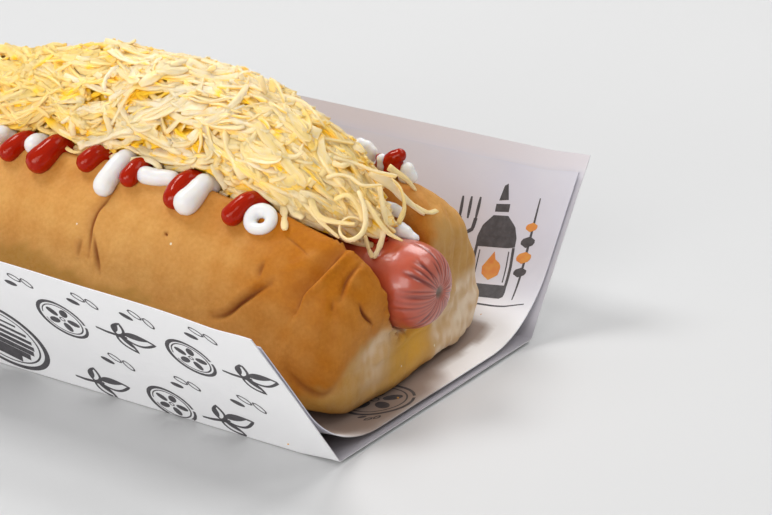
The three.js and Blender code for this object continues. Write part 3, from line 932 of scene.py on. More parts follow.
# Pale where the neighbouring bun touched it: a band along the foot and the lower part of the end.
x, y, z = points.T
band = np.interp(x, *np.array([
    [-86, 14], [-80, 11.5], [-74, 15], [-66, 22], [-24, 32], [-2, 30], [20, 27], [40, 24.2], [61, 22],
    [68, 18.5], [74, 13.5], [80, 11], [86, 14],
]).T)
end_line = np.interp(y, *np.array([
    [-40, 13], [-31, 16.5], [-24, 22.5], [-15, 25], [-4, 25.5], [2, 27], [10, 37], [20, 43],
    [30, 42], [40, 37],
]).T)
wander = 1.3 * ripple(points, 12, 31) + 0.7 * ripple(points, 4, 35)
line = between(band, end_line, end_face) + wander
pale = 1 - ramp(z, line - 3.5, line + 2.2)
golden_patch = round_patch(y, z, (2, 13.5), (14, 7.5)) * end_face
streaks = 0.5 + 0.6 * ripple(points * [1, 0.6, 1], 5, 32) + 0.4 * ripple(points * [1, 1.6, 0.5], 3, 37)
streaks = np.clip(streaks, 0, 1)
film = 1.2 * ramp(y, 12, 20) * (1 - ramp(z, 17, 26)) + 0.75 * round_patch(y, z, (-16, 17), (7, 9))
film = end_face * np.clip(film + 0.1, 0, 1) * (0.45 + 0.55 * streaks) * (1 - 0.8 * golden_patch)
# Browner towards the right end: more toasted crust, and painted shade on the end that faces away from the
# lamps. Darker along the top. Paler on the back lip near the right end: painted highlight.
toasted = 0.1 + 0.8 * ramp(x, 22, 76) - 0.3 * golden_patch + 0.35 * ramp(z, 43, 52)
toasted -= 0.75 * ramp(y, 12, 24) * ramp(x, 58, 74)
toasted += 0.14 * ripple(points, 30, 33) + 0.08 * ripple(points, 7, 34)
crumb = 1 - ramp(to_axis + 0.4 * ripple(points, 3, 36), 12.9, 13.9)
write_shares(
    bun, pale=pale, film=film, golden=golden_patch, toasted=toasted, pressed=pressed, crumb=crumb
)

crust, tree, shader = new_finish(
    "golden_crust", 0.55, Subsurface_Weight=0.1, Subsurface_Radius=(1.0, 0.45, 0.2),
    Subsurface_Scale=0.0015, Specular_IOR_Level=0.14,
)
share_of = stored_shares(tree, "pale", "film", "golden", "toasted", "pressed", "crumb")
mottle = use_group(tree, patches, Size=0.006, Contrast=1.8, Seed=11.0)
fine = use_group(tree, patches, Size=0.0012, Contrast=2.2, Seed=12.0)
flour = use_group(tree, specks, **{"Spacing": 0.008, "Share of cells": 0.3, "Radius": 0.05})
light = mix_colours(tree, share_of["toasted"], (0.76, 0.41, 0.125), (0.51, 0.17, 0.008))
dark = mix_colours(tree, share_of["toasted"], (0.68, 0.345, 0.09), (0.43, 0.13, 0.004))
cream = layered(
    tree, mix_colours(tree, mottle, (0.58, 0.31, 0.065), (0.45, 0.20, 0.03)),
    (fine, (0.54, 0.29, 0.07)),
    (share_of["golden"], (0.76, 0.39, 0.035)),
    (share_of["film"], (0.82, 0.66, 0.48)),
)
paint(tree, shader, layered(
    tree, mix_colours(tree, fine, light, dark),
    (share_of["pale"], cream),
    (share_of["pressed"], (0.22, 0.055, 0.008)),
    (share_of["crumb"], (0.68, 0.50, 0.28)),
    (flour, (0.85, 0.72, 0.52)),
))
skin = add_relief(tree, shader, 0.0032, 0.00022, seed=13.0)
add_relief(tree, shader, 0.0007, 0.00005, seed=14.0, below=skin)
finish_piece(bun, crust, "bread", "bun")

# ---------------------------------------------------------------- sausage
# A cooked sausage in a thin skin, pushed into the slit. The skin is gathered to a small knot
# at each end, so that sharp wrinkles run out from it like the rays of a star.

sausage_low, sausage_high = (np.array(corner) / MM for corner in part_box("sausage"))
sausage_left, sausage_right = sausage_low[0], sausage_high[0]
sausage_radius, end_swell = 11.85, 0.45
dome = np.array([  # distance from the tip, share of the radius
    [1.3, 0.0], [1.05, 0.06], [0.5, 0.13], [0.02, 0.24], [0.12, 0.36], [0.75, 0.53], [2.1, 0.71],
    [4.8, 0.88], [9.0, 0.975], [14, 1.0], [21, 1.0],
])
sides_round = 200
dome_curve = open_curve(np.c_[dome, np.zeros(len(dome))], 9)[:, :2]


def wrinkles(distance, share, angle, random):
    """Depth of the gathered skin's grooves, from the knot (share 0) to the full radius (1)."""
    total = np.zeros(np.broadcast(share, angle).shape)
    for k in range(36):
        middle = 2 * np.pi * (k + random.uniform(-0.35, 0.35)) / 36
        bend = random.uniform(-0.3, 0.3)
        reach = random.uniform(2, 12)
        width = random.uniform(0.022, 0.04)
        off = np.angle(np.exp(1j * (angle - middle - bend * (share - 0.3))))
        along = ramp(share, 0.1, 0.24) * (1 - ramp(distance, 0.3 * reach, reach))
        total += random.uniform(0.4, 1.0) * along * np.exp(-((off / (width + 0.015 * share)) ** 2))
    return total


def sausage_end(tip, direction, seed):
    random = np.random.default_rng(seed)
    angle = np.linspace(0, 2 * np.pi, sides_round, endpoint=False)[None]
    distance, share = dome_curve[:, :1], np.clip(dome_curve[:, 1:], 0.001, 1)
    x = tip - direction * distance
    depth = wrinkles(distance, share, angle, random)
    body = sausage_radius + (end_swell if direction > 0 else 0) * ramp(x * direction, 84, 91)
    radius = body * share - 0.4 * depth * share**0.5
    inwards = x - direction * 0.3 * depth * (1 - share)
    height = axis_height + radius * np.sin(angle)
    points = np.stack(np.broadcast_arrays(inwards, radius * np.cos(angle), height), -1)
    return points, depth


right_rings, right_depth = sausage_end(sausage_right, 1, 51)
left_rings, left_depth = sausage_end(sausage_left, -1, 52)
straight_x = np.linspace(sausage_left + 22, sausage_right - 22, 60)[:, None]
angle = np.linspace(0, 2 * np.pi, sides_round, endpoint=False)[None]
straight = np.stack(np.broadcast_arrays(
    straight_x, sausage_radius * np.cos(angle), axis_height + sausage_radius * np.sin(angle)
), -1)
rings = np.concatenate([left_rings, straight, right_rings[::-1]])
depth = np.concatenate([left_depth, np.zeros(straight.shape[:2]), right_depth[::-1]])
sausage = new_piece("sausage_skin", rings, grid_faces(len(rings), sides_round, wrap=True))
to_tip = np.minimum(rings[..., 0] - sausage_left, sausage_right - rings[..., 0])
middle_gap = np.hypot(rings[..., 1], rings[..., 2] - axis_height) / sausage_radius
write_shares(
    sausage, groove=depth, knot=(1 - ramp(middle_gap, 0.07, 0.2)) * (to_tip < 4),
    gathered=(1 - ramp(middle_gap, 0.45, 0.98)) * (to_tip < 14),
)

casing, tree, shader = new_finish(
    "sausage_casing", 0.34, Subsurface_Weight=0.2, Subsurface_Radius=(1.0, 0.3, 0.2),
    Subsurface_Scale=0.002, Specular_IOR_Level=0.7, Coat_Weight=0.5, Coat_Roughness=0.12,
)
share_of = stored_shares(tree, "groove", "knot", "gathered")
meat = use_group(tree, patches, Size=0.004, Contrast=1.8, Seed=21.0)
# The grooves of the gathered skin are painted dark red: painted shade.
paint(tree, shader, layered(
    tree, mix_colours(tree, meat, (0.57, 0.10, 0.042), (0.48, 0.068, 0.028)),
    (share_of["gathered"], (0.49, 0.12, 0.075)),
    (share_of["groove"], (0.17, 0.02, 0.014)),
    (share_of["knot"], (0.20, 0.12, 0.085)),
))
skin = add_relief(tree, shader, 0.0035, 0.00008, seed=22.0)
add_relief(tree, shader, 0.0006, 0.00002, seed=23.0, below=skin)
finish_piece(sausage, casing, "sausage", "sausage")

# ---------------------------------------------------------------- ketchup and mayonnaise
# Both sauces are piped from a bottle in zigzags over the two lips, ketchup first. Each turn
# runs out over the lip in a thick rounded drop. A little of both ran down on to the sausage.

loaf_axis = np.array([1.0, 40.0])  # across and up: rays from here meet lips, sauce and heap
food = surface_of(bun, sausage)


def unit_ball(steps=2):
    """The points and faces of a small round ball."""
    shape = bmesh.new()
    bmesh.ops.create_icosphere(shape, subdivisions=steps, radius=1)
    points = np.array([v.co for v in shape.verts])
    faces = np.array([[v.index for v in f.verts] for f in shape.faces])
    shape.free()
    return points, faces


ball_points, ball_faces = unit_ball()


def ball_piece(name, points):
    """A piece of as many balls as there are sets of points."""
    starts = np.arange(len(points)) * len(ball_points)
    return new_piece(name, points, (ball_faces[None] + starts[:, None, None]).reshape(-1, 3))


def bead_piece(name, beads, voxel=0.48, smoothing=4):
    """One smooth blob out of overlapping balls, each [x, y, z, radius]."""
    beads = np.array(beads)
    piece = ball_piece(name, beads[:, None, :3] + ball_points[None] * beads[:, None, 3:])
    remeshed(piece, voxel, smoothing)
    return piece


def raised(surface, spot, height, share=1):
    """The surface's nearest point to the spot, raised off it by a share of the height."""
    hit, normal, _, _ = surface.find_nearest(Vector(spot))
    return np.array(hit) + np.array(normal) * height * share


def piped(run, first, last, proud=0.5):
    """Beads of one drop of sauce: from its thick round end, `first`, to the tail under the cheese."""
    curve = open_curve(run, 7)
    beads = []
    for k, spot in enumerate(curve):
        radius = between(first, last, (k / (len(curve) - 1)) ** 1.3)
        beads.append([*raised(food, spot, radius, proud), radius])
    return beads


# Each drop of the front: its run [along, across, up] from the round end to the tail, two radii.
ketchup_drops = [
    ([(-31.6, -22, 51.8), (-30.4, -20.2, 53.4), (-27.5, -16, 54.6)], 3.1, 2.6),
    ([(-19.6, -22.4, 51.6), (-18.2, -20, 53.6), (-16.4, -15.6, 55.4)], 4.0, 2.9),
    ([(-3.6, -20.4, 53.4), (-2.4, -18, 55), (-1.6, -15, 55.6)], 3.1, 2.8),
    ([(12.4, -22.2, 52.8), (12.6, -20, 54.4), (12.4, -16, 55.4)], 2.9, 2.5),
    ([(28.8, -23, 50.2), (28.8, -20.4, 52.8), (30.4, -17.6, 54.6), (33, -15, 55.4)], 3.3, 2.6),
    ([(48, -21.8, 49.2), (49.6, -19.4, 51.4), (52.6, -15.6, 52.6)], 3.2, 2.4),
]
mayonnaise_drops = [
    ([(-24.6, -19, 53.8), (-23, -16.6, 55)], 3.0, 2.4),
    ([(6.2, -25.0, 50), (6.8, -22.4, 53), (7.6, -18, 55.8)], 3.3, 2.9),
    ([(16.4, -20, 53.6), (20, -19.8, 53.8), (24.6, -18.8, 54)], 2.7, 2.3),
    ([(33.2, -23.2, 49.8), (34.2, -20.8, 52), (35.6, -16, 54)], 3.8, 2.8),
]
drop_pitch = 15.4  # where the cheese and the tray hide the rest, the zigzag goes on evenly
random = np.random.default_rng(5)
for k in range(1, 4):
    x, low = -32 - drop_pitch * k, random.uniform(-1, 1)
    run = [(x, -22 - low, lip_height(x) - 2.6 - low), (x + 4, -16, lip_height(x))]
    ketchup_drops.append((run, 3.3, 2.1))
    x = x + 7.6
    run = [(x, -22 + low, lip_height(x) - 2.6 + low), (x + 3, -16, lip_height(x))]
    mayonnaise_drops.append((run, 3.1, 2.3))
for k in range(-5, 4):
    x, low = 3.0 + drop_pitch * k, random.uniform(-1, 1.4)
    top = lip_height(x, side=1)
    run = [(x, 25 + low, top - 1.8 - low), (x - 1, 21, top), (x - 3, 16, top)]
    ketchup_drops.append((run, 3.1, 2.1))
    x = x + 7.4
    run = [(x, 25 - low, top - 2 + low), (x - 1, 21, top), (x - 2, 16, top)]
    mayonnaise_drops.append((run, 2.9, 2.2))
ketchup_beads = [bead for drop in ketchup_drops for bead in piped(*drop)]
mayonnaise_beads = [bead for drop in mayonnaise_drops for bead in piped(*drop)]

# One turn of mayonnaise at the right closes into a ring.
hit, normal, _, _ = food.find_nearest(Vector((56.8, -21.6, 50.0)))
ring_middle, ring_radius, ring_tube = np.array(hit), 2.95, 1.95
along = np.array([1, 0.05, -0.12])
across = np.cross(np.array(normal), along)
for turn in np.linspace(0, 2 * math.pi, 30, endpoint=False):
    spot = ring_middle + ring_radius * (along * 1.08 * math.cos(turn) + across * 0.95 * math.sin(turn))
    tube = ring_tube * (1 + 0.14 * math.cos(turn - 2.4))  # thicker where it was begun
    mayonnaise_beads.append([*raised(food, spot, 0.9), tube])
on_sausage = axis_height + sausage_radius


def on_top(beads):
    """Beads of which the height is given above the sausage's top line."""
    return [[x, y, on_sausage + z, radius] for x, y, z, radius in beads]


mayonnaise_beads += on_top([
    (82.2, 4.4, 1.1, 2.3), (84.0, 4.6, 1.3, 2.4), (85.6, 4.9, 0.9, 2.0), (87.4, 5.2, -0.1, 1.5),
    (88.6, 5.2, -0.4, 1.3), (79.5, 8.0, 5.2, 2.0), (80.6, 8.6, 4.6, 1.8), (78, 7.5, 5.6, 1.9),
])
# Thick dollops at the right of the back lip, piled on one another.
ketchup_beads += [
    (69.4, 22.5, 54.2, 2.7), (71.0, 23.2, 54.4, 2.5), (68.6, 22.4, 56.6, 2.3), (70.0, 22.8, 57.6, 2.5),
    (71.4, 23.2, 58.6, 2.1), (64.8, 23.4, 56.4, 1.5), (64.8, 23.6, 54.6, 1.7), (55.4, 23.0, 59.2, 1.4),
]
mayonnaise_beads += [
    (73.8, 22.8, 53.0, 2.5), (75.0, 23.4, 53.0, 2.2), (74.2, 23.0, 55.2, 2.1), (66.6, 21.6, 57.0, 1.7),
    (66.8, 22.0, 55.0, 2.0), (57.6, 23.4, 56.2, 2.8), (60.2, 23.6, 55.7, 2.7), (57.8, 23.6, 58.8, 2.3),
    (59.8, 23.8, 58.4, 2.3), (61.6, 24.0, 57.4, 1.9), (55.6, 23.2, 57.0, 2.0),
]
ketchup_beads += on_top([
    (80, -2.5, 0.6, 1.6), (81.5, -3.5, 0.4, 1.3), (83, -1.5, 0.3, 1.2), (78, -1, 0.8, 1.6),
])

ketchup = bead_piece("ketchup_turns", ketchup_beads)
mayonnaise = bead_piece("mayonnaise_turns", mayonnaise_beads)

ketchup_gloss, tree, shader = two_shades(
    "ketchup", 0.1, (0.34, 0.008, 0.0003), (0.42, 0.014, 0.0006), size=0.003, contrast=1.4, seed=31.0,
    Subsurface_Weight=0.1, Subsurface_Radius=(1.0, 0.12, 0.05), Subsurface_Scale=0.001,
    Specular_IOR_Level=0.36, Specular_Tint=(1.0, 0.72, 0.62, 1.0),
)
add_relief(tree, shader, 0.0022, 0.00006, seed=32.0)
finish_piece(ketchup, ketchup_gloss, "ketchup", "bun", "sausage")

mayonnaise_gloss, tree, shader = two_shades(
    "mayonnaise", 0.22, (0.82, 0.81, 0.79), (0.86, 0.85, 0.83), size=0.004, contrast=1.4, seed=33.0,
    Subsurface_Weight=0.7, Subsurface_Radius=(1.0, 0.85, 0.6), Subsurface_Scale=0.004,
    Specular_IOR_Level=0.35,
)
add_relief(tree, shader, 0.0025, 0.00005, seed=34.0)
finish_piece(mayonnaise, mayonnaise_gloss, "mayonnaise", "bun", "sausage")

# ---------------------------------------------------------------- heap of grated cheese
# Mild pale yellow cheese, coarsely grated and dropped on by hand: long soft shreds that bend
# over one another, broader ones, short bits, and denser cheese underneath that holds them up.

crest_line = np.array([
    [-90, 50], [-84, 58], [-72, 66], [-54, 72.5], [-25, 79], [8, 81.5], [36, 79.5], [54, 74],
    [68, 65], [80, 57.5], [90, 50],
])
heap_left, heap_right = -86.0, 90.0
heap_front, heap_back, heap_end = -16.2, 21.5, 8.0
heap_bed = on_sausage + 0.6
steepness = 1.05
clear_right = 1  # loose shreds keep this far from the heap's right end
may_cover, edge_may_cover = 1.2, 2.5  # how far a shred rides over sauce or lip: middle, edges
most_tucked = 1.5  # how deep a shred is pushed in among others
lifted_share, lifted_by = 0.2, (0.5, 2.0)  # of the shreds' ends near the crest, how many and how far
field_x = np.arange(heap_left - 6, heap_right + 9, 0.6)
field_angle = np.radians(np.arange(-12, 193, 1.0))


def heap_profile(x):
    """Middle, half width, foot and top of the heap across the station x."""
    to_end = np.minimum(x - heap_left, heap_right - x)
    full = ramp(to_end, 0, 22) if x < 0 else ramp(to_end, 4, 29)
    back = heap_back - 4.0 * ramp(x, 44, 62)
    middle = between(0, (heap_front + back) / 2, full)
    half = between(heap_end, (back - heap_front) / 2, full)
    foot = between(heap_bed + 1.5, lip_height(x) - 3, ramp(to_end, 2, 12))
    top = np.maximum(np.interp(x, *crest_line.T), foot + 3)
    return middle, half, foot, top


def heap_reach():
    """Distance from the axis to the heap's outside, over the field. Zero where there is none."""
    reach = np.zeros((len(field_x), len(field_angle)))
    arc = np.linspace(0, np.pi, 91)
    for i, x in enumerate(field_x):
        if not heap_left < x < heap_right:
            continue
        middle, half, foot, top = heap_profile(x)
        y = middle - half * np.cos(arc) - loaf_axis[0]
        z = foot + (top - foot) * np.sin(arc) ** steepness - loaf_axis[1]
        angle = np.arctan2(z, -y)
        reach[i] = np.interp(field_angle, angle, np.hypot(y, z), left=0, right=0)
    return reach


def rays_out(x, angle):
    """Direction out from the loaf's axis: 0 towards the front, a quarter turn straight up."""
    x, angle = np.broadcast_arrays(x, angle)
    return np.stack([0 * x, -np.cos(angle), np.sin(angle)], -1)


def in_space(x, angle, distance):
    """Points at a distance from the loaf's axis, across the station x."""
    y = loaf_axis[0] - distance * np.cos(angle)
    z = loaf_axis[1] + distance * np.sin(angle)
    return np.stack([x, y, z], -1)


def bare_reach(surface):
    """Distance from the axis to what the cheese falls on."""
    inmost, outmost = 6, 80
    reach = np.full((len(field_x), len(field_angle)), float(inmost))
    for i, x in enumerate(field_x):
        for j, angle in enumerate(field_angle):
            out = rays_out(x, angle)
            start = np.array([x, *loaf_axis]) + out * outmost
            _, _, _, distance = surface.ray_cast(Vector(start), Vector(-out), outmost - inmost)
            if distance is not None:
                reach[i, j] = outmost - distance
    return reach


ground = surface_of(bun, sausage, ketchup, mayonnaise)
target = heap_reach()
spread = np.array(np.meshgrid(field_x, field_angle * 32, indexing="ij")).transpose(1, 2, 0)
lumps = ripple(np.dstack([spread, 0 * spread[..., :1]]), 17, 61)
loose_end = 7 * ramp(field_x, 62, 82)[:, None]  # only the single shreds reach the outline there
target = np.where(target > 0, target + 1.1 * lumps - 0.9 - loose_end, 0)
reach = bare_reach(ground)
foot_turn = np.radians(5)
open_side = (field_angle < 1.6) | (field_x < 48)[:, None]
for turn in np.linspace(-foot_turn, foot_turn, 9):
    shifted = np.array([np.interp(field_angle + turn, field_angle, row) for row in target])
    target = np.where((shifted > 0) & (target <= 0) & open_side, reach, target)
# At the back a thin cover of loose shreds runs out over the tails of the sauces.
over_tails = ramp(field_angle, 2.25, 2.35) * (1 - ramp(field_angle, 2.52, 2.6))
over_tails = over_tails * (1 - ramp(field_x, 40, 50))[:, None]
cover = np.maximum(target, reach + over_tails * (0.9 + 0.9 * lumps))
target = np.where((over_tails > 0) & (target > 0), cover, target)

# The dense cheese underneath: the same heap, smaller, with lumps and dents.
core_depth, core_end, core_sides = 1.9, heap_right - 15, 46
thin_end = 5 * ramp(field_x, 60, 78)[:, None]
has_core = (target > 0) & (field_x < core_end)[:, None]
core = np.where(has_core, target - core_depth - thin_end, 0)
core_rings = []
for i in np.flatnonzero((field_x > heap_left + 5) & (field_x < core_end))[::3]:
    inside = np.flatnonzero(core[i] > reach[i] - 0.8)
    if len(inside) < 6:
        continue
    picked = np.interp(
        np.linspace(inside[0], inside[-1], core_sides), np.arange(len(field_angle)), field_angle
    )
    radius = np.interp(picked, field_angle, np.maximum(core[i], reach[i] - 4.5))
    arc = in_space(np.full(core_sides, field_x[i]), picked, radius)
    bed = [[field_x[i], y, heap_bed + 0.6] for y in np.linspace(arc[-1, 1] * 0.6, arc[0, 1] * 0.6, 8)]
    core_rings.append(np.concatenate([arc, bed]))
core_rings = np.array(core_rings)
around = core_rings.shape[1]
last = (len(core_rings) - 1) * around
core_faces = grid_faces(len(core_rings), around, wrap=True).tolist()
core_faces += [list(range(around))[::-1], [last + k for k in range(around)]]
cheese_core = new_piece("cheese_core", core_rings, core_faces)
points, normals = remeshed(cheese_core, 1.1, smoothing=3)
relief = 0.3 * ripple(points, 5.0, 62) + 0.35 * ripple(points * [0.35, 1, 1], 2.6, 63)
points = points + normals * relief[:, None]
write_points(cheese_core, points)
# The core is painted golden all over: painted shade of the gaps between shreds.
write_shares(cheese_core, deep=np.ones(len(points)))
bare = np.maximum(reach, core)
reach = bare.copy()


def stations(x, angle):
    """Where a spot lies on the field, counted in its steps along and round."""
    pairs = ((x, field_x), (angle, field_angle))
    return [(value - marks[0]) / (marks[1] - marks[0]) for value, marks in pairs]


def field_at(field, x, angle):
    """The field's value between its stations."""
    i, j = (np.clip(at, 0, size - 1.001) for at, size in zip(stations(x, angle), field.shape))
    i0, j0 = i.astype(int), j.astype(int)
    u, v = i - i0, j - j0
    low = between(field[i0, j0], field[i0, j0 + 1], v)
    high = between(field[i0 + 1, j0], field[i0 + 1, j0 + 1], v)
    return between(low, high, u)


def walk(random, middle_x, middle_angle, heading, length, steps, curl):
    """A wandering path over the heap, through its middle point."""
    stride, radius = length / (steps - 1), 33
    bends = random.normal(0, curl) + random.normal(0, curl) * np.linspace(-1, 1, steps)
    headings = heading + np.cumsum(bends * stride + random.normal(0, 0.04, steps))
    headings -= headings[steps // 2] - heading
    x = np.cumsum(stride * np.cos(headings))
    angle = np.cumsum(stride * np.sin(headings)) / radius
    return middle_x + x - x[steps // 2], middle_angle + angle - angle[steps // 2]


def drop_shred(x, angle, thickness, width, lift):
    """Lays a shred on what is there, tucks it in beside others where the heap is full, and adds it
    to the field. Gives its distance from the axis."""
    over = field_at(target, x, angle)
    if (over <= 0).mean() > 0.08 or x.min() < heap_left or x.max() > heap_right - clear_right:
        return None
    radius = 34  # about, of the heap round its axis
    side = width / 2 / radius
    ground_line = field_at(reach, x, angle)
    beside = [field_at(reach, x, angle + shift) for shift in (-side, side)]
    below = np.maximum.reduce([ground_line, *beside])
    allowed = np.where(over > 0, over, ground_line)
    edges = np.maximum(*(field_at(bare, x, angle + shift) for shift in (-side, side)))
    if (field_at(bare, x, angle) - allowed).max() > may_cover or (edges - allowed).max() > edge_may_cover:
        return None
    full = allowed + 0.3 - thickness / 2
    tucked = np.maximum(np.minimum(below, full), below - most_tucked)
    line = tucked.copy()
    for _ in range(6):
        padded = np.concatenate([[line[0]], line, [line[-1]]])
        line = np.maximum(tucked - 0.35, (padded[:-2] + 2 * line + padded[2:]) / 4 + 0.01)
    t = np.linspace(0, 1, len(x))
    line = line + thickness / 2
    if (line + thickness / 2 > ground_line + 0.2).mean() < 0.3:
        return None  # sunk out of sight
    line = line + lift[0] * (1 - t) ** 5 + lift[1] * t**5
    i, j = (np.rint(at).astype(int) for at in stations(x, angle))
    for di in (-1, 0, 1):
        for dj in (-1, 0, 1):
            a = np.clip(i + di, 0, len(field_x) - 1)
            b = np.clip(j + dj, 0, len(field_angle) - 1)
            lower = 0 if di == dj == 0 else (0.65 if width < 2 else 0.3)
            np.maximum.at(reach, (a, b), line + thickness / 2 - lower)
    return line


# Each kind: outline across a shred in half widths, how pale each corner is (painted highlight),
# how far underneath each corner is (painted golden shade).
long_section = (
    [(1, -0.3), (0.7, 0.95), (-0.75, 0.85), (-1, -0.25), (0, -1)],
    (0.9, 0.6, 0.5, 0.9, 0), (0.4, 0, 0, 0.4, 1),
)
sections = {
    "fine": long_section,
    "bits": long_section,
    "broad": (
        [(1, 0), (0.8, 0.95), (0, 0.6), (-0.8, 0.95), (-1, 0), (0, -1)],
        (1, 0.6, 0.1, 0.6, 1, 0), (0.4, 0, 0, 0, 0.4, 1),
    ),
    "curls": (
        [(1, 0.1), (0.7, 0.9), (-0.7, 0.85), (-1, 0), (-0.6, -0.9), (0.7, -0.85)],
        (1, 0.6, 0.5, 1, 0.3, 0.3), (0.1, 0, 0, 0.1, 0.3, 0.3),
    ),
}
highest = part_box("cheese")[1][2] / MM - 1.0


def strip_piece(name, strips, section, pale, under):
    """One piece from strips: each a path, its depth in the heap, width, thickness, twist and turn."""
    paths, deep, widths, thicknesses, twist, turn = (np.array(part) for part in zip(*strips))
    paths[..., 2] = np.minimum(paths[..., 2], highest)
    count, steps, _ = paths.shape
    ahead = np.gradient(paths, axis=1)
    ahead /= np.linalg.norm(ahead, axis=-1, keepdims=True)
    out = paths - np.array([0, *loaf_axis])
    out[..., 0] = 0
    out -= ahead * (out * ahead).sum(-1, keepdims=True)
    out /= np.linalg.norm(out, axis=-1, keepdims=True) + 1e-9
    aside = np.cross(ahead, out)
    t = np.linspace(0, 1, steps)
    twists = twist[:, None] + turn[:, None] * (t - 0.5)
    c, s = np.cos(twists)[..., None], np.sin(twists)[..., None]
    flat, up = aside * c + out * s, out * c - aside * s
    random = np.random.default_rng(len(strips))
    blunt = random.uniform(0.45, 1.0, (count, 2))
    from_end = np.clip(np.minimum(t, 1 - t) / 0.07, 0, 1)
    tip = between(np.where(t < 0.5, blunt[:, :1], blunt[:, 1:]), 1, from_end)
    phase = random.uniform(0, 6, (count, 1))
    ragged = 1 + 0.1 * np.sin(7.2 * t + phase) + 0.08 * np.sin(17 * t + 2.3 * phase)
    half_w = (widths[:, None] * tip * ragged / 2)[..., None, None]
    uneven = 1 + 0.1 * np.sin(11 * t + 3 * phase)
    half_t = (thicknesses[:, None] * tip**0.5 * uneven / 2)[..., None, None]
    section = np.array(section)
    around = len(section)
    points = (
        paths[:, :, None]
        + flat[:, :, None] * section[None, None, :, :1] * half_w
        + up[:, :, None] * section[None, None, :, 1:] * half_t
    )
    quads = grid_faces(steps, around, wrap=True)
    caps = [[0, k, k + 1] for k in range(1, around - 1)]
    far = [[(steps - 1) * around + k for k in reversed(cap)] for cap in caps]
    starts = (np.arange(count) * steps * around)[:, None, None]
    quads = (quads[None] + starts).reshape(-1, 4)
    triangles = (np.array(caps + far)[:, ::-1][None] + starts).reshape(-1, 3)
    piece = new_piece(name, points, quads.tolist() + triangles.tolist())
    x = paths[:, :1, 0]  # the heap is palest at mid length
    paler = ramp(x, -26, 4)
    tint = random.uniform(0, 0.45, (count, 1)) * (0.4 + 0.6 * paler)
    tint = tint + paler * between(0.46, 0.08, ramp(x, 24, 60))
    parts = {"deep": deep[..., None], "edge": pale, "under": under, "tint": tint[..., None]}
    shape = (count, steps, around)
    write_shares(piece, **{name: np.broadcast_to(part, shape) for name, part in parts.items()})
    return piece


# Each kind: steps in a shred, shortest and longest, widths, thicknesses, curl, how many.
kinds = {
    "fine": (12, (11, 30), (1.35, 2.2), (0.8, 1.15), 0.042, 1600),
    "broad": (10, (10, 25), (2.2, 3.6), (0.8, 1.15), 0.03, 800),
    "bits": (5, (3, 8), (1.2, 2.6), (0.7, 1.1), 0.08, 600),
}
random = np.random.default_rng(77)
dropped = {name: [] for name in kinds}
order = random.permutation(np.concatenate([np.full(kinds[name][5], k) for k, name in enumerate(kinds)]))
names = list(kinds)
handful = None  # shreds fall a few at a time, nearly side by side
for kind in order:
    steps, lengths, widths, thicknesses, curl, _ = kinds[names[kind]]
    for attempt in range(12):
        if handful is None or attempt or random.random() < 0.22:
            i = random.integers(0, len(field_x), 60)
            j = random.integers(0, len(field_angle), 60)
            room_left = np.where(target[i, j] > 0, target[i, j] - reach[i, j], -9)
            best = room_left.argmax()
            if room_left[best] < 0.1:
                break
            # Up towards the crest at the left, down along the flank at the right.
            flow = between(0.35, -0.5, ramp(field_x[i[best]], 5, 55)) * np.cos(field_angle[j[best]])
            heading = random.normal(flow, 0.42) + (np.pi if random.random() < 0.5 else 0)
            handful = (field_x[i[best]], field_angle[j[best]], heading)
        curling = curl * (4 if random.random() < 0.14 and kind != 1 else 1)
        x, angle = walk(
            random,
            handful[0] + random.normal(0, 1.6),
            handful[1] + random.normal(0, 0.03),
            handful[2] + random.normal(0, 0.16),
            random.uniform(*lengths) * 0.93**attempt, steps, curling,
        )
        width, thickness = random.uniform(*widths), random.uniform(*thicknesses)
        high_up = np.sin(angle[[0, -1]]) > 0.75
        lifted = (random.random(2) < lifted_share) & high_up
        lift = np.where(lifted, random.uniform(*lifted_by, 2), 0)
        line = drop_shred(x, angle, thickness, width, lift)
        if line is not None:
            dropped[names[kind]].append((x, angle, line, width, thickness))
            break
shreds = {name: [] for name in kinds}
for name, found in dropped.items():
    for x, angle, line, width, thickness in found:
        # How far a shred lies buried under others; it is painted golden there: painted shade.
        deep = np.clip((field_at(reach, x, angle) - line - 0.5) / 1.5, 0, 1)
        twist, turn = random.normal(0, 0.35), random.normal(0, 0.9)
        shreds[name].append((in_space(x, angle, line), deep, width, thickness, twist, turn))

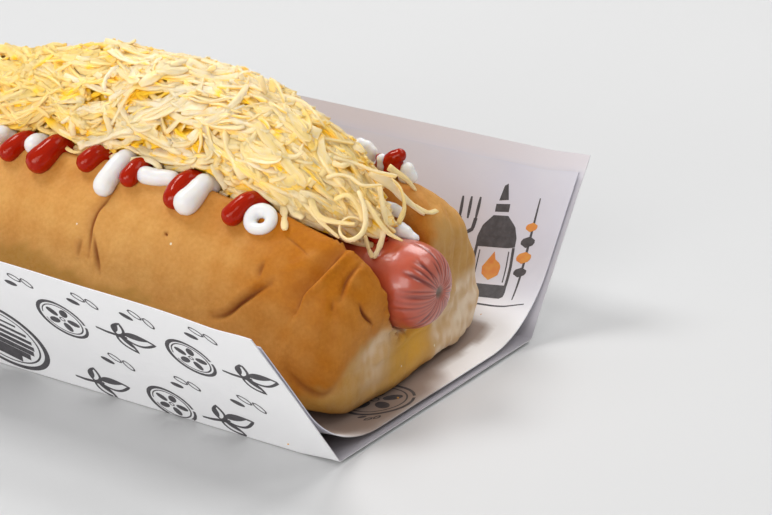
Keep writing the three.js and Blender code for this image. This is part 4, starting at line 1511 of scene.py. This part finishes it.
# Single shreds that stand out, each a run [along, across, up] with its width, thickness, twist.
single_shreds = [
    ([(-40.4, -7.5, 71.3), (-33.5, -7, 73), (-24.6, -9.8, 72.2), (-19.3, -12, 69),
      (-17.8, -13.2, 65.3)], 1.5, 0.9, 0.2),
    ([(-41.6, -14, 58.9), (-37.9, -14, 61.6), (-32.8, -14, 61.4), (-27.8, -14.2, 58)], 1.5, 0.9, 0.1),
    ([(3, -13, 67.3), (-1.9, -13.2, 65), (-4.5, -14, 61.9), (-4.5, -15.2, 58.6), (-1.1, -16.2, 56.6)],
     1.6, 0.9, 0.3),
    ([(-17.5, -16, 56.8), (-13.2, -18.4, 55.8), (-10.2, -18.4, 55.6), (-7, -16, 56.6),
      (0.5, -16.2, 56.9)], 1.2, 0.8, 0.4),
    ([(8.3, -20.4, 56.4), (10.2, -19.3, 57.6), (14.5, -18.2, 58.4), (18.4, -18.2, 57.6),
      (19.5, -18.4, 56.2), (18.0, -18.4, 55.2)], 1.7, 0.9, 0.2),
    ([(35.5, -9, 72.6), (42, -8.6, 70.8), (47.4, -9.8, 68.4), (50.4, -11, 66)], 1.6, 0.9, 0.3),
    ([(58.5, -13.2, 57.8), (66.3, -14.2, 54.2), (71.5, -15, 51), (77.8, -15.4, 47.8)], 1.3, 0.8, 0.5),
    ([(77.6, -6, 58.2), (80.8, -8, 55.3), (82.7, -10, 51.6), (83.2, -13, 49.2), (81, -15.3, 47.8),
      (78.4, -15, 48.3), (76.3, -13, 49.8), (76.5, -11, 51.5), (78.3, -9.5, 52), (80.5, -7.5, 50.4)],
     1.4, 0.8, 0.9),
    ([(79.6, -5.5, 55.8), (84.2, -6.2, 51.2), (86.2, -4.5, 47.7), (88.8, -1.6, 45)], 1.5, 0.9, 0.4),
    ([(84.9, -4.6, 48), (84.8, -6.4, 44.2), (84.4, -8.8, 41.2)], 1.5, 0.9, 0.6),
    ([(81.8, -9, 47.4), (82.4, -8, 43), (84, -8.6, 41.3)], 1.3, 0.8, 0.2),
    ([(73, -10.6, 56.2), (75.5, -8.4, 57.4), (78.9, -8, 54.8), (81.2, -8.9, 51.2)], 1.6, 0.9, 0.2),
    ([(56.6, -4.4, 70.6), (60.8, -1.6, 69), (64.2, 2.2, 67.6), (66.8, 7.2, 65.6)], 1.5, 0.9, 0.3),
    ([(68.9, -8.4, 61), (71.2, -6.6, 61.8), (73.8, -4.4, 61), (77, -3.4, 59), (80, 1.8, 58)],
     1.4, 0.9, 0.4),
    ([(79, 2, 57.6), (82, -1, 54), (84.4, -2.4, 49.4), (85.6, -0.5, 46.4)], 1.4, 0.9, 0.3),
    ([(76, 9, 58.4), (80.6, 10, 54.6), (83.6, 7.2, 50.4), (84.2, 3.4, 47.2)], 1.5, 0.9, 0.3),
    ([(34, 2, 77), (34.6, 0.6, 80), (34.2, -0.2, 81.9)], 1.5, 0.9, 1.2),
    ([(20, 2, 78.6), (23.5, 1, 81), (25.8, 0, 82.6)], 1.5, 0.9, 0.9),
    ([(57.6, -12.8, 56.4), (60.2, -16.2, 52.4), (62.6, -19.3, 51), (65, -22.3, 49.7)], 2.1, 1.0, 0.3),
    ([(57.9, -12.8, 56.2), (61.6, -14.8, 53.6), (63.8, -15.4, 51.8), (66.4, -15.8, 51.2)],
     2.4, 1.0, 0.3),
    ([(63.3, -9.8, 61.2), (66.7, -12.6, 56.2), (70.5, -14.4, 52.2), (74.8, -13.4, 51.2),
      (80, -11, 50.9)], 1.9, 0.9, 0.5),
    ([(65, 0.2, 66), (67.2, -5, 63.4), (67.2, -8.6, 61.2)], 1.9, 1.0, 0.2),
    ([(65.3, -3, 65), (71.1, 1, 63), (76.1, 4.7, 60.2), (79.7, 9, 58.3)], 1.9, 1.0, 0.2),
    ([(75, 3.4, 60.4), (78.5, 7, 56.8), (79.8, 11, 52.4), (81.6, 14, 49), (83.6, 16.8, 46)],
     2.9, 1.0, -1.2),
    ([(81.8, 14.6, 48.6), (84.4, 18, 46), (85, 21.4, 45.6)], 1.7, 0.8, -1.0),
    ([(41.6, 2, 77.2), (41.4, 0.4, 80), (41, 0, 82.4)], 2.0, 1.0, 1.4),
    ([(44.4, 1, 78.4), (45.6, 0, 81.6), (47.6, -0.6, 80.6), (50.6, -2, 77.4)], 2.4, 1.0, 1.0),
    ([(74, 14, 58.4), (77.4, 17.6, 54.4), (78, 21, 50.6)], 2.0, 1.0, -1.1),
]
shreds["curls"] = []
curl_steps = 26
for run, width, thickness, twist in single_shreds:
    curve = open_curve(run, 12)
    marks = np.linspace(0, len(curve) - 1, curl_steps)
    path = np.stack([np.interp(marks, np.arange(len(curve)), curve[:, k]) for k in range(3)], -1)
    shreds["curls"].append((path, np.zeros(curl_steps), width, thickness, twist, 0.7))

soft_cheese, tree, shader = new_finish(
    "grated_cheese", 0.45, Subsurface_Weight=0.6, Subsurface_Radius=(0.5, 0.56, 1.0),
    Subsurface_Scale=0.004, Specular_IOR_Level=0.2,
)
shader.subsurface_method = "BURLEY"
share_of = stored_shares(tree, "deep", "edge", "under", "tint")
grain = use_group(tree, patches, Size=0.0012, Contrast=1.6, Seed=42.0)
# Pale shred edges are painted highlight. Undersides, buried shreds and the core are painted golden: painted
# shade.
paleness = add_node(tree, "Math", {0: share_of["tint"], 1: 0.6, 2: 0.3}, operation="MULTIPLY_ADD")
edge_highlight = add_node(tree, "Math", {0: share_of["edge"], 1: paleness.outputs[0]}, operation="MULTIPLY")
paint(tree, shader, layered(
    tree, mix_colours(tree, share_of["tint"], (0.78, 0.49, 0.065), (0.86, 0.80, 0.75)),
    (grain, (0.86, 0.65, 0.20)),
    (edge_highlight.outputs[0], (0.85, 0.77, 0.62)),
    (share_of["under"], (1.0, 0.62, 0.035)),
    (share_of["deep"], (1.0, 0.63, 0.035)),
))
add_relief(tree, shader, 0.0009, 0.00006, seed=43.0)
finish_piece(cheese_core, soft_cheese, "cheese", "cheese")
for name, found in shreds.items():
    finish_piece(strip_piece("cheese_" + name, found, *sections[name]), soft_cheese, "cheese", "cheese")

# ---------------------------------------------------------------- crumbs
# Bits of crust that broke off when the bun was slit, and specks of cheese and of orange oil,
# loose on the liner, caught on its back wall and stuck to the outside of the front wall.

paper = surface_of(tray_piece, liner_piece)


def crumb_piece(name, spots, seed):
    """Uneven lumps on the paper, each [x, y, z, radius]."""
    random = np.random.default_rng(seed)
    points = []
    for *spot, radius in spots:
        moved = ball_points + random.uniform(-9, 9, 3)
        shape = ball_points * (1 + 0.28 * ripple(moved, 1.6, 3))[:, None]
        shape = shape * random.uniform(0.65, 1.2, 3) * radius
        points.append(raised(paper, spot, 0.45, radius) + shape)
    return ball_piece(name, points)


crust_crumbs = [
    (94.9, 39.5, 1.6, 1.3), (93.6, 40.4, 1.6, 0.7), (92, 36.5, 1.6, 0.5), (96.5, 12, 2, 0.4),
    (93, -6, 2, 0.45), (92.5, -9, 2, 0.3), (95, 27, 2, 0.45),
]
cheese_specks = [(95.3, 71.7, 32.2, 0.5), (84.8, 63, 20.3, 0.55), (91, 43, 2.5, 0.6), (70, 68, 26, 0.5)]
oil_specks = [(84.6, -50.8, 4.2, 0.3), (85.6, -50.2, 3.2, 0.28), (83.9, -51.6, 6, 0.2), (60, -57, 14, 0.22)]
random = np.random.default_rng(12)
for k in range(26):
    side = 1 if k % 3 else -1
    spot = (random.uniform(-95, 95), foot_middle + side * random.uniform(37, 44), 4.0)
    (cheese_specks if k % 4 == 0 else crust_crumbs).append((*spot, random.uniform(0.3, 0.9)))

oil, _, _ = two_shades(
    "orange_oil", 0.3, (0.80, 0.35, 0.03), (0.85, 0.45, 0.08), size=0.002, contrast=1.5, seed=51.0
)
finish_piece(crumb_piece("bread_crumbs", crust_crumbs, 71), crust, "bread")
finish_piece(crumb_piece("cheese_specks", cheese_specks, 72), soft_cheese, "cheese")
finish_piece(crumb_piece("oil_specks", oil_specks, 73), oil, "cheese")
